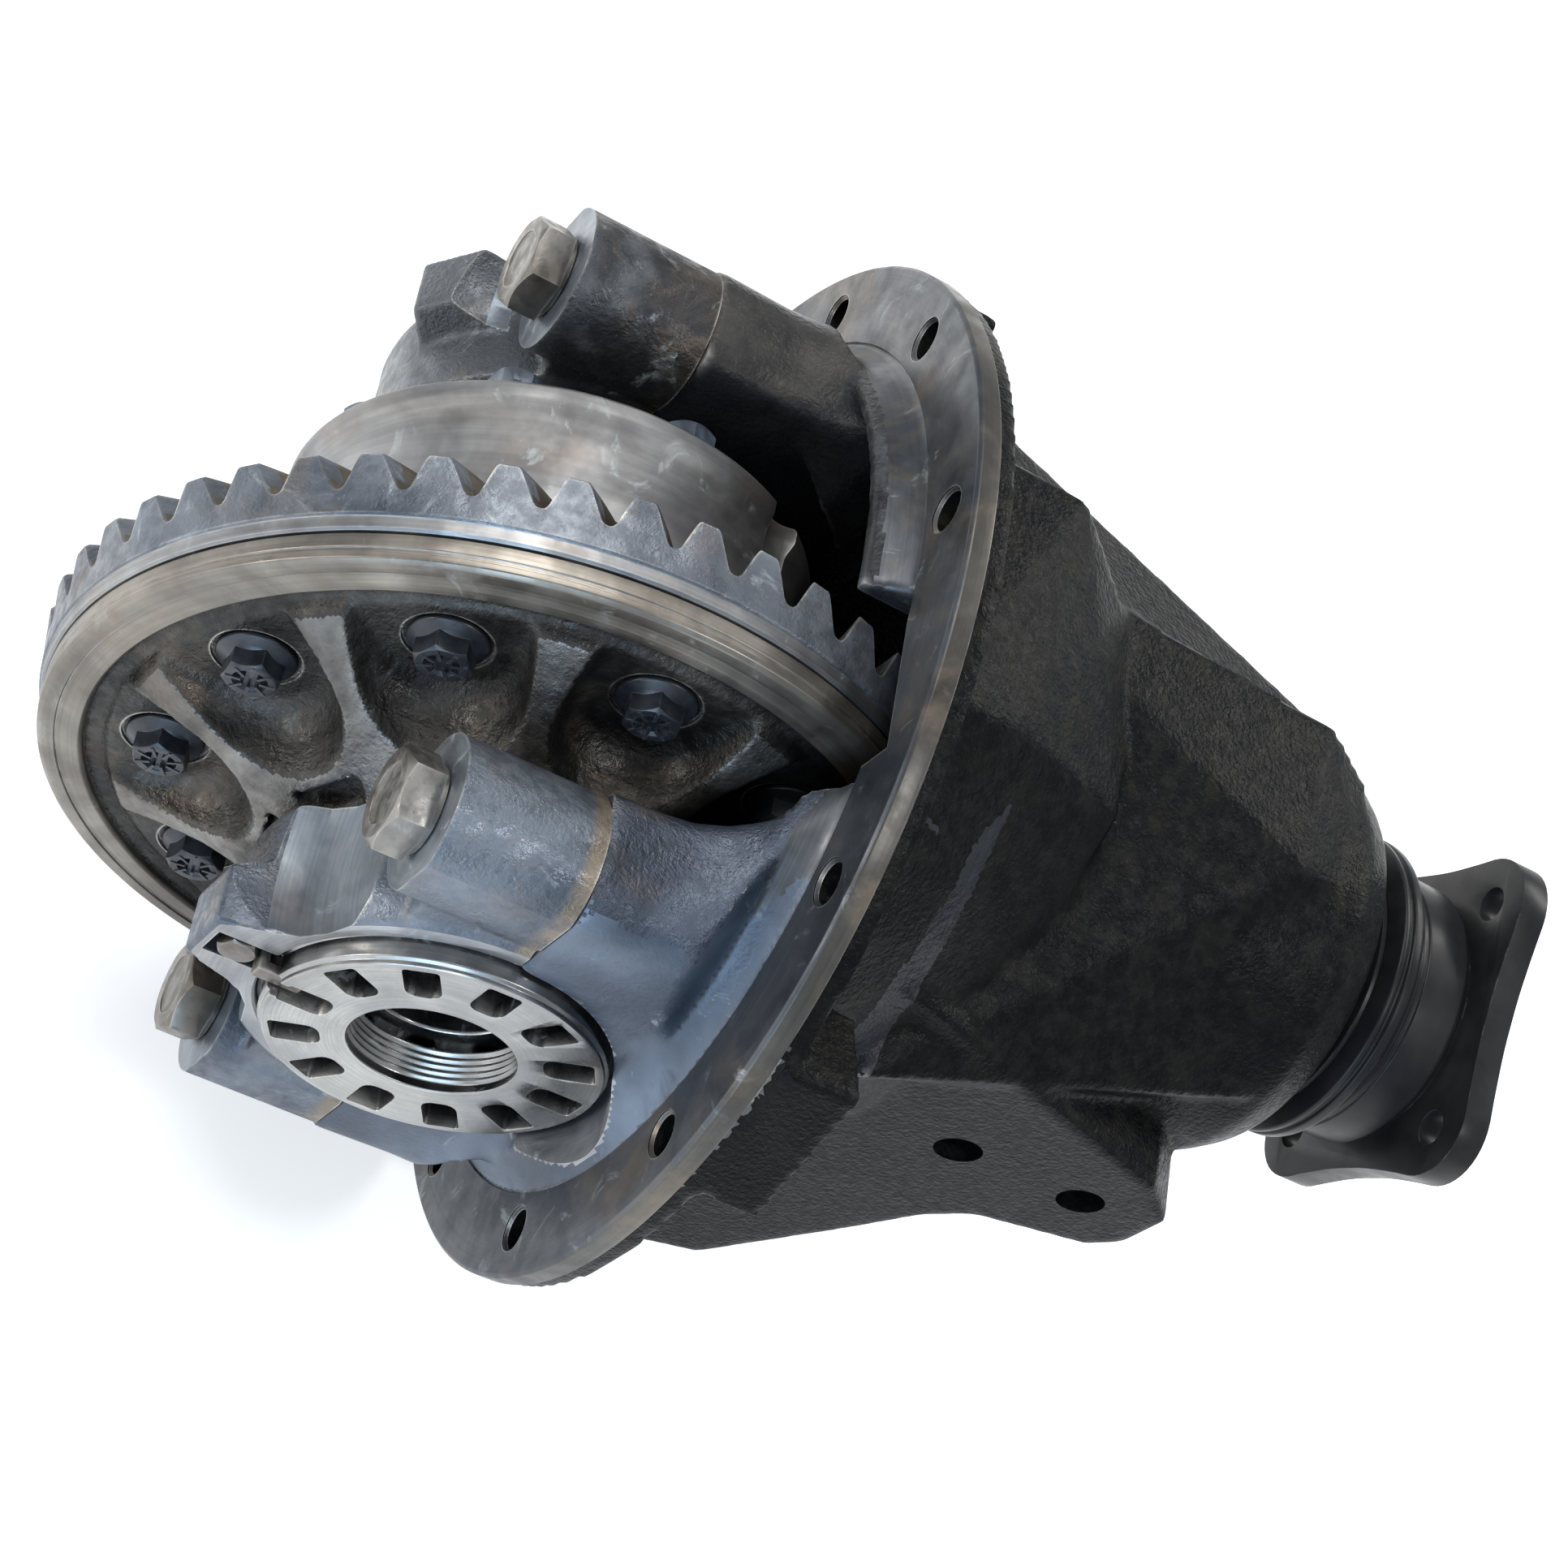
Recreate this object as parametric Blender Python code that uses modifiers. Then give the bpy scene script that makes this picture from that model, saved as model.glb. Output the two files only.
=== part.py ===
"""Drop-out differential carrier of a light truck axle: housing, drive pinion, ring gear and differential.

Frame: origin at the centre of the flange's mounting face. +X runs along the drive pinion to the companion
flange, +Y along the axle shafts, +Z up. All lengths in this file are millimetres and all angles degrees,
and the helpers turn them into metres and radians.
"""
import math

import bmesh
import bpy
import numpy as np
from mathutils import Matrix

MM = 0.001
GAP = 0.3                      # clearance between neighbouring pieces

# Main axes
RING_X = -61.0                 # ring gear and axle shaft axis, which runs along Y at Z = 0
PINION_Z = 39.0                # hypoid offset of the pinion axis, which runs along X at Y = 0

# Housing
FLANGE_R = 187.0
FLANGE_T = 15.0
FLANGE_BOLT_R = 170.0
FLANGE_HOLE_R = 7.0
FLANGE_HOLE_ANGLES = (23.0, 53.5, 86.0, 129.0, 163.0)
REGISTER_R = 158.5
REGISTER_DEPTH = 2.0
MOUTH_R = 144.0
NOSE_R = 78.0
NOSE_END_X = 236.0

# Bearing pedestals and caps: the near one is on the -Y side
NEAR_Y = -109.0
FAR_Y = 100.0
PEDESTAL_HALF = 24.0
SIDE_BORE_R = 58.8
CAP_BOLT_Z = 82.0
CAP_BOSS_R = 26.0
CAP_SEAT_X = -110.0
CAP_ARCH_R = 71.0
LOCK_TURN = {-1: 0.0, 1: 30.0}  # where each adjuster lock sits on its cap, from -X toward +Z

# Ring gear and drive pinion
RING_TEETH = 46
PINION_TEETH = 8
RING_BACK_Y = -46.7
RING_TOE = 106.0
RING_HEEL = 154.0
RING_TIP_Y = (-14.0, -21.0)    # tooth tips at the toe and at the heel
RING_ROOT_Y = (-25.0, -34.0)
RING_SPIRAL = 32.0
RING_PHASE = -1.12
RING_TIP_HALF = 0.10           # half of a tooth's thickness at the tip, as a share of the pitch
RING_ROOT_HALF = 0.5
RING_BOLT_R = 107.0
RING_BOLTS = 10
CASE_SEAT_R = 88.0
PINION_TOE_X = 44.0
PINION_HEEL_X = 88.0
PINION_TIP_R = (20.5, 28.5)
PINION_ROOT_R = (13.0, 18.5)

# Differential case
CROSS_Y = 15.0                 # plane where the case halves meet, on the cross's arms
CAVITY_R = 60.0
CAVITY_HALF = 38.0
CASE_BOLTS = 8
CASE_BOLT_R = 77.0
CROSS_TURN = 14.5              # the cross's arms and the side gears are turned by this from +X toward +Z
RIM_R = 92.0
RIM_Y = 59.0
JOURNAL_R = 32.0
SHAFT_BORE_R = 24.0
SIDE_HUB_R = 33.0
ARM_R = 10.0

# Differential gears
SIDE_TEETH = 12
SPIDER_TEETH = 8
GEAR_CONE = 42.0
GEAR_FACE = 14.0
TOOTH_RISE = 4.2               # angles of a tooth's tip and root from its pitch cone
TOOTH_DEPTH = 7.0
TOOTH_TIP_HALF = 0.07

# Pinion bearings and companion flange
INNER_BEARING_X = 102.0
OUTER_BEARING_X = 183.0
PLATE_X = 285.5
PLATE_T = 11.0
PLATE_BOLT_R = 60.0
PLATE_CORNER = 77.0
PLATE_TURN = 18.5

CAST_BLACK = ((0.018, 0.018, 0.020), 0.45, 0.1)
CAST_GREY = ((0.16, 0.165, 0.17), 0.45, 0.8)
STEEL = ((0.36, 0.35, 0.34), 0.35, 1.0)
GEAR_STEEL = ((0.20, 0.22, 0.25), 0.35, 1.0)
BRIGHT_STEEL = ((0.55, 0.55, 0.55), 0.25, 1.0)
BLACK_OXIDE = ((0.02, 0.021, 0.023), 0.4, 0.8)
SATIN_BLACK = ((0.015, 0.015, 0.016), 0.4, 0.2)
RUBBER = ((0.01, 0.01, 0.01), 0.7, 0.0)

X_AXIS = Matrix.Rotation(math.radians(90), 4, "Y")      # carries local +Z to world +X
Y_AXIS = Matrix.Rotation(math.radians(-90), 4, "X")     # carries local +Z to world +Y


# ---------------------------------------------------------------- scene and objects

def clear_scene():
    for item in list(bpy.data.objects):
        bpy.data.objects.remove(item, do_unlink=True)


def collection(name):
    made = bpy.data.collections.new(name)
    bpy.context.scene.collection.children.link(made)
    return made


clear_scene()
PARTS = collection("differential_carrier")
TOOLS = collection("cutters")


def material(name, finish):
    color, roughness, metallic = finish
    made = bpy.data.materials.new(name)
    made.use_nodes = True
    shader = made.node_tree.nodes["Principled BSDF"]
    shader.inputs["Base Color"].default_value = (*color, 1.0)
    shader.inputs["Roughness"].default_value = roughness
    shader.inputs["Metallic"].default_value = metallic
    return made


def place(x=0.0, y=0.0, z=0.0, turn=None):
    """A matrix that turns a shape about the origin and then moves it, in millimetres."""
    return Matrix.Translation((x * MM, y * MM, z * MM)) @ (turn or Matrix.Identity(4))


def new_object(name, mesh, where=None):
    """A working shape, kept with the cutters until it becomes a part."""
    made = bpy.data.objects.new(name, mesh)
    TOOLS.objects.link(made)
    made.matrix_world = where or Matrix.Identity(4)
    made.hide_render = True
    made.display_type = "WIRE"
    return made


def as_part(item, name, finish, smooth=30.0):
    """Turn a working shape into a named part with its own material, its modifiers applied."""
    mesh = baked(item)
    item.modifiers.clear()
    item.data = mesh
    TOOLS.objects.unlink(item)
    PARTS.objects.link(item)
    item.name = name
    mesh.name = name
    mesh.materials.clear()
    mesh.materials.append(material(name, finish))
    mesh.shade_smooth()
    mesh.set_sharp_from_angle(angle=math.radians(smooth))
    item.hide_render = False
    item.display_type = "SOLID"
    return item


def copy_part(source, name, where):
    """A further part that shares its mesh with an earlier one."""
    made = bpy.data.objects.new(name, source.data)
    PARTS.objects.link(made)
    made.matrix_world = where
    return made


def baked(item):
    """The object's evaluated mesh as new mesh data."""
    graph = bpy.context.evaluated_depsgraph_get()
    return bpy.data.meshes.new_from_object(item.evaluated_get(graph))


def bm_object(name, bm, where=None):
    bmesh.ops.recalc_face_normals(bm, faces=bm.faces)
    mesh = bpy.data.meshes.new(name)
    bm.to_mesh(mesh)
    bm.free()
    return new_object(name, mesh, where)


# ---------------------------------------------------------------- shapes

def turned(name, profile, where, steps=36):
    """A closed profile of (radius, height) turned about local Z by a Screw modifier.

    The profile starts at the top and runs down the outer side.
    """
    mesh = bpy.data.meshes.new(name)
    points = [(r * MM, 0.0, h * MM) for r, h in profile]
    closed = all(r > 0 for r, h in profile)
    count = len(points)
    edges = [(i, i + 1) for i in range(count - 1)]
    if closed:
        edges.append((count - 1, 0))
    mesh.from_pydata(points, edges, [])
    item = new_object(name, mesh, where)
    screw = item.modifiers.new("turn", "SCREW")
    screw.axis = "Z"
    screw.angle = math.tau
    screw.steps = steps
    screw.render_steps = steps
    screw.use_merge_vertices = True
    screw.merge_threshold = 0.00001
    return item


def cylinder(name, radius, low, high, where, steps=24):
    """A plain cylinder about local Z between two heights."""
    bm = bmesh.new()
    middle = Matrix.Translation((0, 0, (low + high) / 2 * MM))
    bmesh.ops.create_cone(bm, cap_ends=True, segments=steps, radius1=radius * MM, radius2=radius * MM,
                          depth=(high - low) * MM, matrix=middle)
    return bm_object(name, bm, where)


def box(name, low, high, where=None):
    bm = bmesh.new()
    size = [(b - a) * MM for a, b in zip(low, high)]
    centre = [(a + b) / 2 * MM for a, b in zip(low, high)]
    matrix = Matrix.Translation(centre) @ Matrix.Diagonal((*size, 1.0))
    bmesh.ops.create_cube(bm, size=1.0, matrix=matrix)
    return bm_object(name, bm, where)


def plate(name, outline, thickness, where):
    """A flat outline in local XY, extruded evenly to both sides and made a mesh."""
    curve = bpy.data.curves.new(name, "CURVE")
    curve.dimensions = "2D"
    curve.fill_mode = "BOTH"
    curve.extrude = thickness / 2 * MM
    spline = curve.splines.new("POLY")
    spline.points.add(len(outline) - 1)
    for point, (x, y) in zip(spline.points, outline):
        point.co = (x * MM, y * MM, 0.0, 1.0)
    spline.use_cyclic_u = True
    drawn = bpy.data.objects.new(name + "_outline", curve)
    TOOLS.objects.link(drawn)
    bpy.context.view_layer.update()
    bm = bmesh.new()
    bm.from_mesh(baked(drawn))
    bmesh.ops.remove_doubles(bm, verts=bm.verts, dist=0.00001)
    bpy.data.objects.remove(drawn, do_unlink=True)
    return bm_object(name, bm, where)


def frustum(name, low, high, steps=36):
    """A solid between two circles that lie across X, each given as (x, y, z, radius)."""
    bm = bmesh.new()
    rings = []
    for x, y, z, radius in (low, high):
        ring = [bm.verts.new((x * MM, (y + radius * math.cos(a)) * MM, (z + radius * math.sin(a)) * MM))
                for a in (math.tau * i / steps for i in range(steps))]
        rings.append(ring)
        bm.faces.new(ring)
    for i in range(steps):
        j = (i + 1) % steps
        bm.faces.new((rings[0][i], rings[0][j], rings[1][j], rings[1][i]))
    return bm_object(name, bm)


def hull(name, corners):
    """The convex hull of points, for a faceted lump of casting."""
    bm = bmesh.new()
    for x, y, z in corners:
        bm.verts.new((x * MM, y * MM, z * MM))
    bmesh.ops.convex_hull(bm, input=bm.verts)
    return bm_object(name, bm)


def combine(item, others, operation, solver):
    """Apply Booleans on the first shape, one after another, and remove the others."""
    for other in others:
        step = item.modifiers.new(operation.lower(), "BOOLEAN")
        step.operation = operation
        step.solver = solver
        step.object = other
    bpy.context.view_layer.update()
    mesh = baked(item)
    item.modifiers.clear()
    item.data = mesh
    for other in others:
        bpy.data.objects.remove(other, do_unlink=True)
    return item


def cut(item, *others, solver="EXACT"):
    return combine(item, others, "DIFFERENCE", solver)


def join(item, *others, solver="EXACT"):
    return combine(item, others, "UNION", solver)


def clip(item, *others, solver="EXACT"):
    return combine(item, others, "INTERSECT", solver)


def bevel(item, width, segments=1, angle=40.0):
    step = item.modifiers.new("edge", "BEVEL")
    step.width = width * MM
    step.segments = segments
    step.limit_method = "ANGLE"
    step.angle_limit = math.radians(angle)
    return item


def lerp(pair, share):
    return pair[0] + (pair[1] - pair[0]) * share


def around(angle, radius):
    """A point on a circle, as (cosine side, sine side)."""
    a = math.radians(angle)
    return radius * math.cos(a), radius * math.sin(a)


def on_ring_axis(y=0.0):
    return place(RING_X, y, 0, Y_AXIS)


def on_pinion_axis(x=0.0):
    return place(x, 0, PINION_Z, X_AXIS)


# ---------------------------------------------------------------- housing

def flange_holes():
    """Cutters for the bolt holes, the same above and below the axle."""
    holes = []
    for angle in FLANGE_HOLE_ANGLES:
        for sign in (1, -1):
            y, z = around(sign * angle, FLANGE_BOLT_R)
            holes.append(cylinder("hole", FLANGE_HOLE_R, -5, FLANGE_T + 40, place(0, y, z, X_AXIS), 12))
    return holes


def housing_outside():
    shell = turned("housing", [(0, FLANGE_T), (FLANGE_R, FLANGE_T), (FLANGE_R, 2), (FLANGE_R - 2, 0), (0, 0)],
                   place(0, 0, 0, X_AXIS), 48)
    body = frustum("body", (8, 0, 0, 168), (120, 0, 30, 84))
    nose = turned("nose", [(0, NOSE_END_X), (54, NOSE_END_X), (70, 226), (NOSE_R, 212), (NOSE_R, 60), (0, 60)],
                  on_pinion_axis())
    chamber = cylinder("chamber", 182, -84, 60, on_ring_axis(), 48)
    clip(chamber, box("chamber_limits", (8, -100, -150), (140, 100, 20)))
    gusset = hull("gusset", [(9, 108, 118), (9, 146, 30), (9, 120, -90), (9, 20, 150), (196, 58, 98), (196, 84, 39),
                             (196, 62, -10), (190, 20, 60), (9, 0, 0)])
    return join(shell, body, nose, chamber, gear_bulge(), gusset, pinion_block(), *bracket(), *rim_pads(),
                solver="MANIFOLD")


def gear_bulge():
    """The flat-topped bulge over the ring gear, with its sloping front."""
    return hull("gear_bulge", [(9, 60, 150), (62, 60, 147), (9, -45, 158), (49, -37, 147), (104, 34, 121),
                               (104, -30, 120), (9, -112, 112), (60, -100, 84), (96, -84, 78), (9, -140, 0),
                               (60, -125, 5), (100, -92, 20), (9, 60, 0), (104, 34, 0)])


def pinion_block():
    """The faceted lump around the pinion bearings, with an overhanging ridge above the bracket."""
    return hull("pinion_block", [(88, 44, 124), (186, 41, 120), (206, 34, 113), (106, 9, 122), (180, -15, 119),
                                 (206, -12, 113), (57, -124, 67), (203, -73, 67), (60, -108, 30), (203, -62, 30),
                                 (60, 44, 30), (206, 34, 30)])


def bracket():
    """The web on the near side with its two-hole pad, which stays from the flange to the nose."""
    outline = [(5, -140), (60, -150), (108, -132), (148, -44), (160, -26), (200, -15), (208, -4),
               (208, 22), (190, 40), (60, 90), (5, 90)]
    web = plate("web", outline, 30, place(0, -92, 0, Matrix.Rotation(math.radians(90), 4, "X")))
    return [bevel(web, 5, 2)]


def rim_pads():
    pad = box("pad", (2, -12, 150), (36, 48, FLANGE_R - 1), Matrix.Rotation(math.radians(160 - 90), 4, "X"))
    lug = box("lug", (10, -8, 150), (34, 8, FLANGE_R - 3), Matrix.Rotation(math.radians(40 - 90), 4, "X"))
    return [pad, lug]


def housing_inside():
    mouth = cylinder("mouth", MOUTH_R, -5, 24, place(0, 0, 0, X_AXIS), 40)
    register = cylinder("register", REGISTER_R, -5, REGISTER_DEPTH, place(0, 0, 0, X_AXIS), 40)
    throat = frustum("throat", (20, 0, 0, 143), (98, 0, 24, 84))
    notch = box("notch", (-10, -72, -158), (12, -12, 158))
    return [mouth, register, throat, notch]


def pinion_bores():
    profile = [(0, 260), (47.3, 260), (47.3, 226), (40, 226), (40, 208), (45.3, 208), (45.3, OUTER_BEARING_X - 1),
               (38, OUTER_BEARING_X - 1), (38, 126), (52.3, 126), (52.3, 70), (0, 70)]
    return turned("pinion_bores", profile, on_pinion_axis())


def pedestal(centre, name):
    """A bearing pedestal that grows out of the flange: two bolt columns and the wall between them."""
    columns = []
    for z in (CAP_BOLT_Z, -CAP_BOLT_Z):
        columns.append(cylinder(name, CAP_BOSS_R, RING_X, 60, place(0, centre, z, X_AXIS)))
    wall = box(name, (RING_X, centre - PEDESTAL_HALF, -CAP_BOLT_Z), (60, centre + PEDESTAL_HALF, CAP_BOLT_Z))
    outward = 1 if centre > 0 else -1
    foot = frustum(name, (RING_X + 22, centre, 0, 88), (12, centre - outward * 12, 0, 146))
    low, high = sorted((centre - outward * 10, centre + outward * 60))
    heel = box(name, (11, low, -CAP_BOLT_Z), (58, high, CAP_BOLT_Z))
    join(foot, heel, solver="MANIFOLD")
    keep = box(name, (RING_X, low, -150), (70, high, 150))
    limit = cylinder(name, MOUTH_R + 6, RING_X - 5, 80, place(0, 0, 0, X_AXIS), 48)
    clip(foot, keep, limit, solver="MANIFOLD")
    return [*columns, wall, foot]


def lock_frame(outward):
    """Turns a shape made at the -X side of the ring axis to where the adjuster lock of that side sits."""
    return place(RING_X, turn=Matrix.Rotation(math.radians(LOCK_TURN[outward]), 4, "Y")) @ place(-RING_X)


def cap_bolt_holes(centre):
    return [cylinder("bolt_hole", 10.6, RING_X - 60, RING_X + 66, place(0, centre, z, X_AXIS), 12)
            for z in (CAP_BOLT_Z, -CAP_BOLT_Z)]


def carrier_housing():
    shell = housing_outside()
    cut(shell, *housing_inside(), solver="MANIFOLD")
    join(shell, *pedestal(NEAR_Y, "near"), *pedestal(FAR_Y, "far"), solver="MANIFOLD")
    gear_room = cylinder("gear_room", 161, -72, -12, on_ring_axis(), 48)
    case_room = cylinder("case_room", 100, -90, 76, on_ring_axis(), 36)
    near_bore = cylinder("near_bore", SIDE_BORE_R, -200, -80, on_ring_axis(), 36)
    far_bore = cylinder("far_bore", SIDE_BORE_R, 70, 200, on_ring_axis(), 36)
    head_room = cylinder("head_room", 44, 20, 102, on_pinion_axis(), 36)
    cut(shell, gear_room, case_room, near_bore, far_bore, head_room, pinion_bores(), solver="MANIFOLD")
    cut(shell, *flange_holes(), *cap_bolt_holes(NEAR_Y), *cap_bolt_holes(FAR_Y), solver="MANIFOLD")
    drill = [cylinder("tapped", 8, 98, 118, place(x, 0, 13, Matrix.Rotation(math.radians(90), 4, "X")), 16)
             for x in (127, 178)]
    cut(shell, *drill, solver="MANIFOLD")
    return as_part(shell, "carrier_housing", CAST_BLACK)


def bearing_cap(centre, name):
    split = RING_X - GAP
    outward = 1 if centre > 0 else -1
    columns = [cylinder(name, CAP_BOSS_R, CAP_SEAT_X, split, place(0, centre, z, X_AXIS), 20)
               for z in (CAP_BOLT_Z, -CAP_BOLT_Z)]
    arch = cylinder(name, CAP_ARCH_R, centre - PEDESTAL_HALF, centre + PEDESTAL_HALF, on_ring_axis(), 36)
    shoulders = box(name, (CAP_SEAT_X + 12, centre - PEDESTAL_HALF, -CAP_BOLT_Z),
                    (split, centre + PEDESTAL_HALF, CAP_BOLT_Z))
    boss_ends = sorted((centre + outward * 4, centre + outward * PEDESTAL_HALF))
    boss = box(name, (RING_X - 82, boss_ends[0], -12), (RING_X - 52, boss_ends[1], 12), lock_frame(outward))
    body = join(arch, *columns, shoulders, boss)
    bore = cylinder("bore", SIDE_BORE_R, centre - 40, centre + 40, on_ring_axis(), 36)
    away = box("away", (split, -300, -300), (300, 300, 300))
    holes = cap_bolt_holes(centre)
    seats = [cylinder("seat", CAP_BOSS_R - 2, CAP_SEAT_X - 60, CAP_SEAT_X, place(0, centre, z, X_AXIS))
             for z in (CAP_BOLT_Z, -CAP_BOLT_Z)]
    slot = box("slot", (RING_X - 79, centre + outward * 15, -7), (RING_X - 40, centre + outward * 60, 7),
               lock_frame(outward))
    tapped = cylinder("tapped", 4.4, centre + outward * 15 - 14, centre + outward * 15 + 14,
                      lock_frame(outward) @ place(RING_X - 70, 0, 0, Y_AXIS), 12)
    cut(body, away, bore, *holes, *seats, slot, tapped)
    return as_part(body, name, CAST_GREY)


# ---------------------------------------------------------------- fasteners

def hex_bolt(name, across, head, shank_r, length, collar=0.0):
    """A hexagon bolt along local Z: the head stands above zero and the shank runs down below it."""
    chamfer = head * 0.15
    corner = across / math.sqrt(3) * MM
    bm = bmesh.new()
    bmesh.ops.create_cone(bm, cap_ends=True, segments=6, radius1=corner, radius2=corner,
                          depth=(head - chamfer) * MM,
                          matrix=Matrix.Translation((0, 0, (head - chamfer) / 2 * MM)))
    top = max(bm.faces, key=lambda face: face.calc_center_median().z)
    bmesh.ops.inset_region(bm, faces=[top], thickness=across * 0.07 * MM, depth=chamfer * MM)
    head_shape = bm_object(name, bm)
    pieces = [cylinder(name, shank_r, -length, head / 2, Matrix.Identity(4), 8)]
    if collar:
        pieces.append(cylinder(name, collar, 0, head * 0.22, Matrix.Identity(4), 16))
    return join(head_shape, *pieces)


def bolt_set(source, names, matrices, finish):
    """Place copies of one bolt, the first being the source itself."""
    first = as_part(source, names[0], finish)
    first.matrix_world = matrices[0]
    for name, matrix in zip(names[1:], matrices[1:]):
        copy_part(first, name, matrix)


def cap_bolts():
    names = []
    matrices = []
    for side, centre in (("near", NEAR_Y), ("far", FAR_Y)):
        for level, z, turn in (("upper", CAP_BOLT_Z, 12), ("lower", -CAP_BOLT_Z, 40)):
            names.append(f"cap_bolt_{side}_{level}")
            spin = Matrix.Rotation(math.radians(-90), 4, "Y") @ Matrix.Rotation(math.radians(turn), 4, "Z")
            matrices.append(place(CAP_SEAT_X - GAP, centre, z, spin))
    bolt_set(hex_bolt("cap_bolt", 30, 14, 10, 95), names, matrices, STEEL)


def ring_gear_bolts():
    names = [f"ring_gear_bolt_{i + 1:02d}" for i in range(RING_BOLTS)]
    matrices = []
    for i in range(RING_BOLTS):
        turn = Matrix.Rotation(math.radians(90), 4, "X")
        x, z = around(15 + i * 360 / RING_BOLTS, RING_BOLT_R)
        matrices.append(place(RING_X + x, -54.8, z, turn))
    bolt_set(hex_bolt("ring_bolt", 17, 10, 6, 16.5, 13), names, matrices, BLACK_OXIDE)


def case_bolts():
    names = [f"case_bolt_{i + 1}" for i in range(CASE_BOLTS)]
    matrices = []
    for i in range(CASE_BOLTS):
        turn = Matrix.Rotation(math.radians(-90), 4, "X")
        x, z = around(CROSS_TURN + (i + 0.5) * 360 / CASE_BOLTS, CASE_BOLT_R)
        matrices.append(place(RING_X + x, RIM_Y + GAP, z, turn))
    bolt_set(hex_bolt("case_bolt", 17, 10, 6, 63), names, matrices, GEAR_STEEL)


# ---------------------------------------------------------------- adjusting nuts

def adjuster(name, face_y, outward):
    """A slotted ring nut whose notched face looks along the axle, away from the ring gear."""
    turn = Matrix.Rotation(math.radians(-90 * outward), 4, "X")
    profile = [(26, 0), (56, 0), (56, -10), (58.4, -10.5), (58.4, -22), (40, -22), (33, -14), (26, -12)]
    nut = turned(name, profile, place(RING_X, face_y, 0, turn))
    slots = []
    for i in range(12):
        spin = Matrix.Rotation(math.radians(30 * i), 4, "Z")
        body = box("slot", (39, -4.2, -8.5), (70, 4.2, 3), place(RING_X, face_y, 0, turn) @ spin)
        slots.append(body)
    cut(nut, *slots)
    return as_part(nut, name, BRIGHT_STEEL)


def adjuster_lock(name, centre, face_y, outward):
    """A bent tab that is bolted into the cap's slot and reaches into one slot of the nut."""
    frame = lock_frame(outward)
    y = centre + outward * 15
    tab = box(name, (RING_X - 78, min(y, y + outward * 4), -5.5), (RING_X - 59.5, max(y, y + outward * 4), 5.5), frame)
    near_nut = face_y - outward * 3
    low, high = sorted((y + outward * 2, near_nut))
    riser = box(name, (RING_X - 63, low, -3.6), (RING_X - 59.5, high, 3.6), frame)
    low, high = sorted((near_nut - outward * 4, near_nut))
    finger = box(name, (RING_X - 61, low, -3.6), (RING_X - 46, high, 3.6), frame)
    hole = cylinder("hole", 4.4, y - 20, y + 20, frame @ place(RING_X - 70, 0, 0, Y_AXIS), 12)
    body = cut(join(tab, riser, finger), hole)
    return as_part(body, name, STEEL)


def lock_bolts():
    names = ["lock_bolt_near", "lock_bolt_far"]
    matrices = [lock_frame(side) @ place(RING_X - 70, centre + side * (19 + GAP), 0,
                                         Matrix.Rotation(math.radians(-90 * side), 4, "X"))
                for side, centre in ((-1, NEAR_Y), (1, FAR_Y))]
    bolt_set(hex_bolt("lock_bolt", 12, 5, 4, 16), names, matrices, STEEL)


# ---------------------------------------------------------------- gears

def ring_spiral(rho):
    """Angle by which a ring gear tooth trails at a radius, in radians."""
    middle = (RING_TOE + RING_HEEL) / 2
    return math.radians(RING_PHASE) - math.tan(math.radians(RING_SPIRAL)) * np.log(rho / middle)


def ring_gear():
    """Teeth run between a toe and a heel station; the rest is a plain ring with the same number of points."""
    corners = ((-RING_TIP_HALF, 1), (RING_TIP_HALF, 1), (RING_ROOT_HALF, 0))
    stations = [("flat", CASE_SEAT_R + GAP, RING_BACK_Y), ("flat", CASE_SEAT_R + GAP, -30),
                ("tooth", 0.0, 0), ("tooth", 0.5, 0), ("tooth", 1.0, 0), ("flat", 150.3, RING_BACK_Y)]
    bm = bmesh.new()
    rings = []
    for kind, first, second in stations:
        ring = []
        for tooth in range(RING_TEETH):
            for offset, top in corners:
                if kind == "flat":
                    rho = first
                    height = second
                    slant = ring_spiral(min(max(rho, RING_TOE), RING_HEEL))
                else:
                    rho = RING_TOE + (RING_HEEL - RING_TOE) * first
                    rho -= 2.0 * first * (1 - top)
                    height = lerp(RING_TIP_Y if top else RING_ROOT_Y, first)
                    slant = ring_spiral(rho)
                angle = math.tau * (tooth + offset) / RING_TEETH + slant
                ring.append(bm.verts.new((rho * math.cos(angle) * MM, height * MM, -rho * math.sin(angle) * MM)))
        rings.append(ring)
    count = len(rings[0])
    for low, high in zip(rings, rings[1:] + rings[:1]):
        for i in range(count):
            j = (i + 1) % count
            bm.faces.new((low[i], low[j], high[j], high[i]))
    gear = bm_object("ring_gear", bm, place(RING_X, 0, 0))
    holes = []
    for i in range(RING_BOLTS):
        x, z = around(15 + i * 360 / RING_BOLTS, RING_BOLT_R)
        holes.append(cylinder("hole", 6.6, RING_BACK_Y - 5, -36.5, place(RING_X + x, 0, z, Y_AXIS), 8))
    cut(gear, *holes)
    return as_part(gear, "ring_gear", GEAR_STEEL)


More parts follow.
